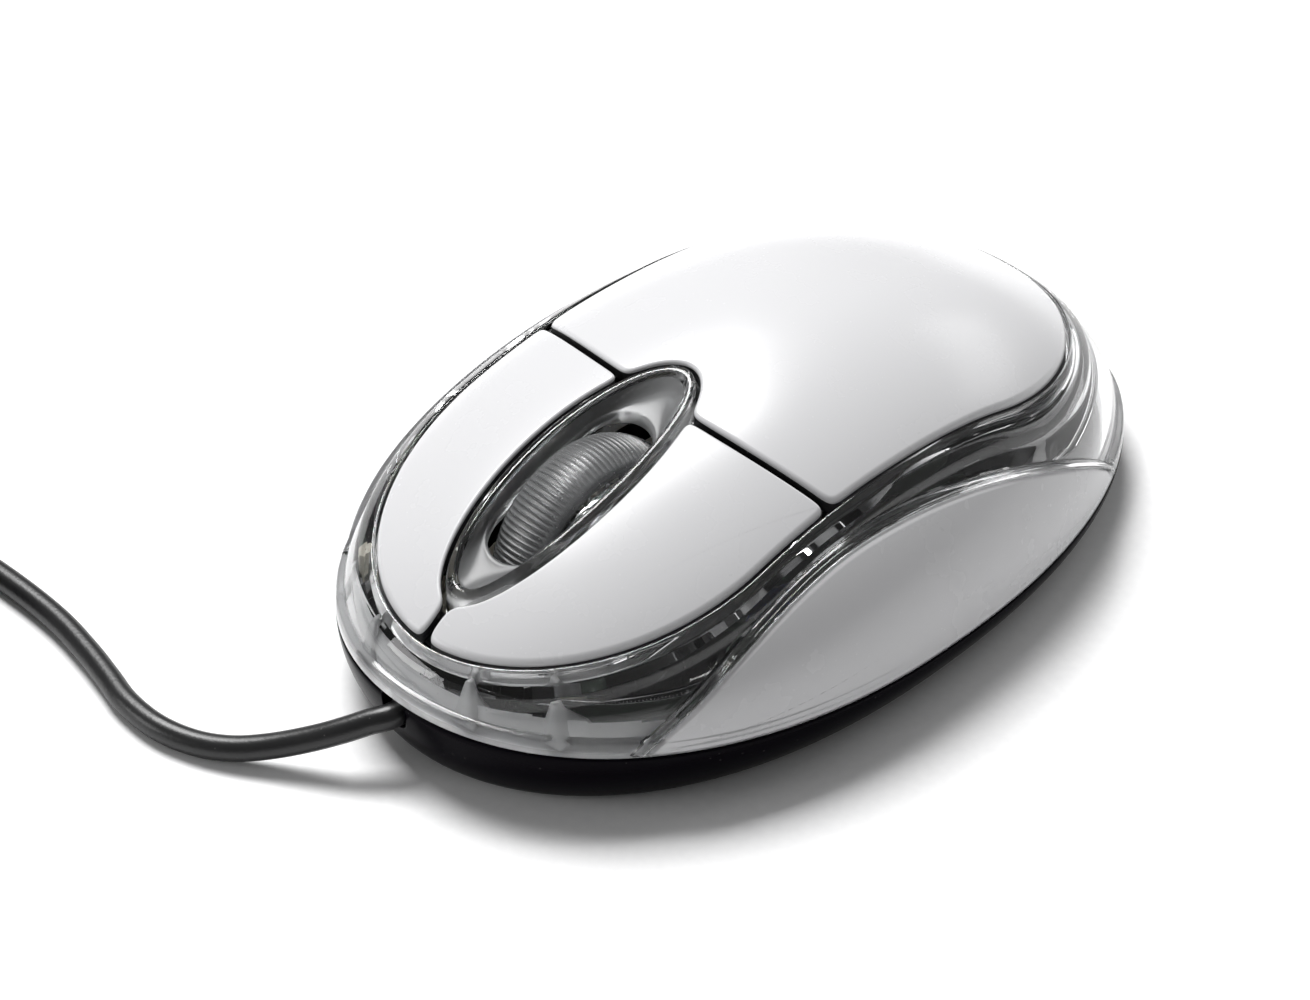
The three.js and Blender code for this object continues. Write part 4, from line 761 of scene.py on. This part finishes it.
# ---------------------------------------------------------------- side panels
# A polished white panel on each flank, clipped over the clear wall, inside a raised clear frame.
PANEL_Y, PANEL_TOP = -4.5, 21.2
PANEL_FRONT, PANEL_REAR = 31.2, 39.6
PANEL_ARCH = 0.85
PANEL_SKIN = 0.75
PANEL_LIFT = 0.2
PANEL_CENTRE, PANEL_ROLL, PANEL_CORNER = (-2, 11), 0.35, 0.5
TRIM_SECTION = [(0.18, 0.85), (0.18, 0.25), (0.24, 0.1), (0.4, 0.0), (0.6, -0.02), (0.78, 0.05),
                (0.9, 0.2), (0.92, 0.5), (0.92, 0.85)]


def arch(grow, count=1200):
    """The arch of a panel, from its front foot over the top to its rear foot, in y and z: y follows the sine
    of the turn and the rise above the parting line a power of its cosine."""
    turn = np.linspace(-math.pi / 2, math.pi / 2, count)
    y = PANEL_Y + np.where(turn < 0, PANEL_FRONT + grow, PANEL_REAR + grow) * np.sin(turn)
    rise = np.maximum(np.cos(turn), 0) ** (2 * PANEL_ARCH)
    return np.stack([y, parting(y) + PANEL_LIFT + (PANEL_TOP + grow - PANEL_LIFT - parting(y)) * rise], -1)


def skin_width(y, z, depth):
    """How far out the skin is, set in by a depth, at a y and a height: the height's formula solved for x."""
    power = np.where(y < 0, NOSE_ROUND, TAIL_ROUND)
    share = np.clip((z - parting(y)) / (ridge(y) - depth - parting(y)), 0, 1)
    reach = np.sqrt(1 - share**CROWN)
    along = np.abs(y) / (HALF_LENGTH - depth)
    return (half_width(y) - depth) * np.maximum(reach**power - along**power, 0) ** (1 / power)


for name, side in (("left", 1), ("right", -1)):
    def flank(points, depth, side=side):
        y, z = points[:, 0], points[:, 1]
        return np.stack([side * skin_width(y, z, depth), y, z], -1)

    over = arch(0)
    under = np.linspace(over[-1, 0], over[0, 0], 1200)
    loop = np.vstack([over, np.stack([under, parting(under) + PANEL_LIFT], -1)[1:-1]])[::-1]
    loop = soften(respace(loop, 1600), PANEL_CORNER)[::2]
    panel = crowned_plate(f"flank_panel_{name}", loop, PANEL_CENTRE, flank, PANEL_SKIN, PANEL_ROLL, rows=34)
    paint(panel, white_gloss, white_gloss)
    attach(panel, "mouse_body")
    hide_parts(f"side_panel_{name}")

    rings = np.stack([flank(arch(grow, 400)[4:-4], depth) for grow, depth in TRIM_SECTION], 1)
    trim = lay_rings(f"flank_frame_{name}", rings, first=rings[0].mean(0), last=rings[-1].mean(0))
    paint(trim, clear)
    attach(trim, "mouse_body")

# ---------------------------------------------------------------- base
# The black lower shell: one tub moulded in glossy black ABS, whose side curves in toward the desk, with
# posts for the board and the cradle, four recesses for the feet, the sensor's window and the cord's notch.
BASE_WALL, BASE_FLOOR, BASE_INSET = 1.9, 1.8, 2.8
BASE_Z, BASE_ROLL = 0.6, 0.25
FLOOR_TOP = BASE_Z + BASE_FLOOR
FIT_GAP = 0.3
FOOT_LENGTH, FOOT_WIDTH, FOOT_THICK = 13, 5, 0.9
FOOT_PLACES = ((11, -35.5), (-11, -35.5), (11, 33.5), (-11, 33.5))
LENS_WINDOW, SENSOR_Y = (7, 6), 2
CASE_SCREW_Y, BOSS_BORE = 33, 2.8
CORD_X, CORD_Z, NOTCH_ROOM = -1, 6.7, 0.35
BOARD_POST = [(3, 2.3), (3, 7.2), (1.5, 7.2), (1.5, 2.3)]
CASE_POST = [(3.7, 2.3), (3.7, 8.4), (1.5, 8.4), (1.5, 4.3), (BOSS_BORE, 4.3), (BOSS_BORE, 2.3)]
SCREW_POSTS = ((17.5, 13, BOARD_POST), (-17.5, 13, BOARD_POST), (0, CASE_SCREW_Y, CASE_POST))
TRUNNION_X, TRUNNION_Y, TRUNNION_BLOCK = 8.4, -7.5, (2.8, 4.4, 17.2)
INK = (0.0022, 0.0016, 0.0032)


def base_ring(depth, share, height=None):
    """The base's side, set in by a depth, at a share of its height: the inset is a parabola of the share."""
    far = reach_of(plan_loop(depth + BASE_INSET * (1 - share) ** 2), (0, 0), BEARINGS)
    return at_reach(far, height or (lambda x, y: BASE_Z + share * (parting(y) - BASE_Z)))


def base_rings():
    """The tub's section: out along the underside, up the curved side, over its top and down inside."""
    flat = reach_of(plan_loop(BASE_INSET + 2 * BASE_ROLL), (0, 0), BEARINGS)
    rings = [at_reach(flat * share, lambda x, y: np.full_like(x, BASE_Z)) for share in (0.2, 0.5, 0.8, 1)]
    rings.append(base_ring(BASE_ROLL * 0.8, 0, lambda x, y: np.full_like(x, BASE_Z + 0.03)))
    rings += [base_ring(0, share) for share in np.linspace(0.05, 0.97, 14)]
    rings += [base_ring(0.12, 1), base_ring(BASE_WALL - 0.15, 1)]
    rings += [base_ring(BASE_WALL, share) for share in (0.97, 0.8, 0.66, 0.55)]
    low = reach_of(plan_loop(BASE_WALL + BASE_INSET / 2), (0, 0), BEARINGS)
    rings += [at_reach(low * share, lambda x, y: np.full_like(x, FLOOR_TOP)) for share in (1, 0.8, 0.5, 0.2)]
    return rings


def cut_out():
    """A geometry node group that cuts the tub's openings: the round-ended recesses of the feet, each the hull
    of two drums, the sensor's window, the bore of the case screw and the notch of the cord."""
    group = bpy.data.node_groups.new("base_cutouts", "GeometryNodeTree")
    group.interface.new_socket("Geometry", in_out="INPUT", socket_type="NodeSocketGeometry")
    group.interface.new_socket("Geometry", in_out="OUTPUT", socket_type="NodeSocketGeometry")
    new, join = group.nodes.new, group.links.new
    source, result = new("NodeGroupInput"), new("NodeGroupOutput")
    cut = new("GeometryNodeMeshBoolean")
    cut.operation = "DIFFERENCE"
    cut.solver = "EXACT"

    def put(mesh, middle, turn=(0, 0, 0)):
        move = new("GeometryNodeTransform")
        move.inputs["Translation"].default_value = [v * MM for v in middle]
        move.inputs["Rotation"].default_value = turn
        join(mesh, move.inputs["Geometry"])
        return move.outputs["Geometry"]

    def drum(radius, depth, middle, turn=(0, 0, 0)):
        made = new("GeometryNodeMeshCylinder")
        made.inputs["Vertices"].default_value = 48
        made.inputs["Radius"].default_value = radius * MM
        made.inputs["Depth"].default_value = depth * MM
        return put(made.outputs["Mesh"], middle, turn)

    def brick(size, middle):
        made = new("GeometryNodeMeshCube")
        made.inputs["Size"].default_value = [v * MM for v in size]
        return put(made.outputs["Mesh"], middle)

    cutters = []
    radius = FOOT_WIDTH / 2 + FIT_GAP
    for x, y in FOOT_PLACES:
        pair, hull = new("GeometryNodeJoinGeometry"), new("GeometryNodeConvexHull")
        for end in (-1, 1):
            middle = (x + end * (FOOT_LENGTH - FOOT_WIDTH) / 2, y, 0)
            join(drum(radius, 2 * (FOOT_THICK + FIT_GAP), middle), pair.inputs["Geometry"])
        join(pair.outputs["Geometry"], hull.inputs["Geometry"])
        cutters.append(hull.outputs["Convex Hull"])
    cutters.append(brick((*LENS_WINDOW, 4 * FLOOR_TOP), (0, SENSOR_Y, 0)))
    cutters.append(drum(BOSS_BORE, 4 * FLOOR_TOP, (0, CASE_SCREW_Y, 0)))
    notch = CORD / 2 + NOTCH_ROOM
    along = (CORD_X, -HALF_LENGTH + 3, CORD_Z)
    cutters.append(drum(notch, 12, along, (math.pi / 2, 0, 0)))
    cutters.append(brick((2 * notch, 12, 10), (along[0], along[1], CORD_Z + 5)))
    join(source.outputs[0], cut.inputs["Mesh 1"])
    for cutter in cutters:
        join(cutter, cut.inputs["Mesh 2"])
    join(cut.outputs["Mesh"], result.inputs[0])
    return group


def screw_posts():
    """Rings of the tubes on the floor that take the screws of the board and the case."""
    turn = np.linspace(0, 2 * math.pi, 40, endpoint=False)

    def hoop(x, y, radius, z):
        return np.stack([x + radius * np.cos(turn), y + radius * np.sin(turn), np.full_like(turn, z)], -1)

    for x, y, profile in SCREW_POSTS:
        yield np.array([hoop(x, y, radius, z) for radius, z in profile])


def trunnion_post(side):
    """The two rings of the block under one end of the cradle's pivot."""
    width, length, top = TRUNNION_BLOCK
    return np.array([[(side * TRUNNION_X + a * width / 2, TRUNNION_Y + b * length / 2, z)
                      for a, b in corner_signs] for z in (FLOOR_TOP - 0.1, top)])


glossy_black = moulded("glossy_black", INK, 0.22, {"Specular IOR Level": 0.03},
                       Grain_Height=0.05, Wander=0.12, Dust=0.05, Drift=0.2)
tub = lay_rings("base_tub", base_rings(), first=(0, 0, BASE_Z), last=(0, 0, FLOOR_TOP))
paint(tub, glossy_black)
tub.modifiers.new("base_cutouts", "NODES").node_group = cut_out()
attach(tub, "mouse_body")
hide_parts("base_shell")
for number, rings in enumerate([*screw_posts(), trunnion_post(1), trunnion_post(-1)]):
    ends = {} if len(rings) > 2 else {"first": rings[0].mean(0), "last": rings[-1].mean(0)}
    post = lay_rings(f"base_post_{number + 1}", rings, wrap=not ends, **ends)
    paint(post, glossy_black)
    post.modifiers.new("soft_faces", "NODES").node_group = SOFT_FACES
    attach(post, "mouse_body")

# ---------------------------------------------------------------- bezel
# A clear dish round the wheel, moulded in the same crystal plastic: an elliptical rim flush with the keys,
# a hollow that falls to a slot with rounded ends, and a skirt that drops between the keys.
BEZEL_RIM, BEZEL_DISH, BEZEL_SKIN, BEZEL_SKIRT = 1.2, 1.9, 1.4, 4.0
SLOT_FRONT, SLOT_REAR, SLOT_HALF = -35.0, -14.3, 3.9
DISH_START = 0.3
RIM_SECTION = [(0.0, BEZEL_SKIRT), (0.0, 2.5), (0.0, 1.0), (0.0, 0.35), (-0.1, 0.12), (-0.3, 0.0),
               (-0.7, -0.05), (-1.0, 0.0), (-BEZEL_RIM, 0.2)]


def slot_loop(grow, count=1600):
    """A slot with round ends: two half circles joined by straight sides."""
    radius = SLOT_HALF + grow
    turn = np.linspace(-math.pi, math.pi, count, endpoint=False)
    y = np.where(turn < 0, SLOT_FRONT + SLOT_HALF, SLOT_REAR - SLOT_HALF) + radius * np.sin(turn)
    return respace(np.stack([radius * np.cos(turn), y], -1), count)


def ellipse_loop(grow, count=1600):
    turn = np.linspace(-math.pi, math.pi, count, endpoint=False)
    across, along = (half + grow for half in BEZEL_HALF)
    return np.stack([across * np.cos(turn), BEZEL_Y + along * np.sin(turn)], -1)


def bezel_reach(loop):
    return reach_of(loop, (0, BEZEL_Y), BEARINGS)


def bezel_ring(far, depth):
    x, y = far * np.cos(BEARINGS), BEZEL_Y + far * np.sin(BEARINGS)
    return np.stack([x, y, skin_height(x, y, depth)], -1)


def bezel_rings():
    """From the skirt's foot up its outside, over the rim, down the dish to the slot, and back underneath. The
    dish falls as the sine of a quarter turn, so that it leaves the rim steeply and is flat at the slot."""
    rings = [bezel_ring(bezel_reach(ellipse_loop(grow)), depth) for grow, depth in RIM_SECTION]
    outer, slot = bezel_reach(ellipse_loop(-BEZEL_RIM)), bezel_reach(slot_loop(0))
    inner = np.minimum(bezel_reach(slot_loop(0.25)), outer - 0.12)
    under = BEZEL_DISH + BEZEL_SKIN
    for share in np.linspace(0.06, 1, 16):
        depth = DISH_START + (BEZEL_DISH - DISH_START) * math.sin(share * math.pi / 2)
        rings.append(bezel_ring(outer + (inner - outer) * share, depth))
    rings += [bezel_ring(slot, BEZEL_DISH + 0.25), bezel_ring(slot, under - 0.2)]
    rings += [bezel_ring(outer + (inner - outer) * share, under) for share in (0.9, 0.5, 0.15)]
    rings += [bezel_ring(outer, depth) for depth in (under + 0.1, BEZEL_SKIRT)]
    return rings


def bezel_bands(rings):
    """Material 1, the satin one, for the dish and its underside; the rim and the skirt stay clear."""
    number = np.arange(len(rings))
    return np.where((number >= len(RIM_SECTION)) & (number < len(rings) - 2), 1, 0)


satin_clear = moulded("satin_crystal", (0.32, 0.325, 0.33), 0.3,
                      {"Transmission Weight": 0.7, "IOR": 1.45, "Specular IOR Level": 0.1},
                      Drift=0.05, Wander=0.05, Grain_Height=0.0, Wave_Height=0.5, Dust=0.2)
rings = bezel_rings()
bezel = lay_rings("bezel_dish", rings, wrap=True, bands=bezel_bands(rings))
paint(bezel, clear, satin_clear)
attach(bezel, "mouse_body")
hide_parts("wheel_bezel")

# ---------------------------------------------------------------- wheel
# A tyre of smoky clear rubber with fine ribs across its tread, stretched over a clear hub whose web is
# slotted like a cog so that it chops the light of the encoder.
WHEEL_CENTRE = (0, -22, 15.3)
WHEEL_RADIUS, WHEEL_HALF, WHEEL_CROWN, TYRE_DEPTH = 12, 3.3, 0.8, 2.4
TREAD_RIBS = 108
RIB_HEIGHT = 0.28


def tyre_rings():
    """The tyre as a closed section swept round the axle: the tread is a parabola across the width, and its
    radius rises and falls with the bearing as the ribs pass, less towards the shoulders."""
    across = np.linspace(-1, 1, 15)
    turn = np.linspace(0, 2 * math.pi, TREAD_RIBS * 10, endpoint=False)
    wave = 0.5 + 0.5 * np.cos(turn * TREAD_RIBS)
    rib = RIB_HEIGHT * (1 - np.clip(1.6 * (1 - wave), 0, 1))

    def hoop(share, radius):
        across = np.full_like(turn, WHEEL_HALF * share)
        return np.stack([across, radius * np.cos(turn), radius * np.sin(turn)], -1)

    rings = []
    for share in across:
        fade = 1 - abs(share) ** 6
        rings.append(hoop(share * 0.97, WHEEL_RADIUS - RIB_HEIGHT - WHEEL_CROWN * share**2 + rib * fade))
    inner, shoulder = WHEEL_RADIUS - TYRE_DEPTH, WHEEL_RADIUS - WHEEL_CROWN - 0.6
    rim = [(1, shoulder), (1, inner + 0.2), (0.92, inner)]
    rings += [hoop(share, radius) for share, radius in rim]
    rings += [hoop(-share, radius) for share, radius in rim[::-1]]
    return np.array(rings) + np.array(WHEEL_CENTRE)


smoky_rubber = moulded("smoky_rubber", (0.33, 0.335, 0.34), 0.25, {"Transmission Weight": 0.7, "IOR": 1.45},
                       Grain_Height=0.1, Wander=0.15, Dust=0.15)
tyre = lay_rings("wheel_tread", tyre_rings(), wrap=True)
paint(tyre, smoky_rubber)
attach(tyre, "wheel")
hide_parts("wheel_tyre")
dress("wheel_hub", clear)

# ---------------------------------------------------------------- works inside
# The board and what is soldered to it, the cradle with its springs, the optics and the screws.
cream = moulded("cream_acetal", (0.62, 0.59, 0.50), 0.4, Grain_Height=0.15, Dust=0.3)
lacquer = moulded("board_lacquer", (0.016, 0.042, 0.022), 0.3, Drift=0.6, Grain_Height=0.3, Dust=0.4)
chip_black = moulded("chip_black", (0.012, 0.012, 0.013), 0.5, Grain_Height=0.6, Dust=0.4)
tinned = moulded("tinned_steel", (0.55, 0.55, 0.56), 0.3, {"Metallic": 1.0}, Wander=0.3, Drift=0.5, Dust=0.15)
red_cap = moulded("red_cap", (0.45, 0.03, 0.03), 0.4, Grain_Height=0.1)
red_lamp = moulded("red_lamp", (0.75, 0.03, 0.03), 0.08, {"Transmission Weight": 0.7}, Grain_Height=0.0)
blue_sleeve = moulded("blue_sleeve", (0.01, 0.025, 0.12), 0.3, Drift=0.2)
grey_glide = moulded("grey_glide", (0.035, 0.035, 0.04), 0.45, Grain_Height=0.3, Dust=0.3)
dress("wheel_cradle cable_connector middle_switch_plunger", cream)
dress("circuit_board", lacquer)
dress("sensor_chip controller_chip infrared_emitter infrared_detector lead_wires led_clip", chip_black)
dress("middle_switch_body switch_body_left switch_body_right", chip_black)
dress("detent_spring lift_spring crystal case_screw board_screw_left board_screw_right", tinned)
dress("switch_plunger_left switch_plunger_right", red_cap)
dress("led", red_lamp)
dress("capacitor", blue_sleeve)
dress("sensor_lens", clear)
dress("foot_front_left foot_front_right foot_rear_left foot_rear_right", grey_glide)
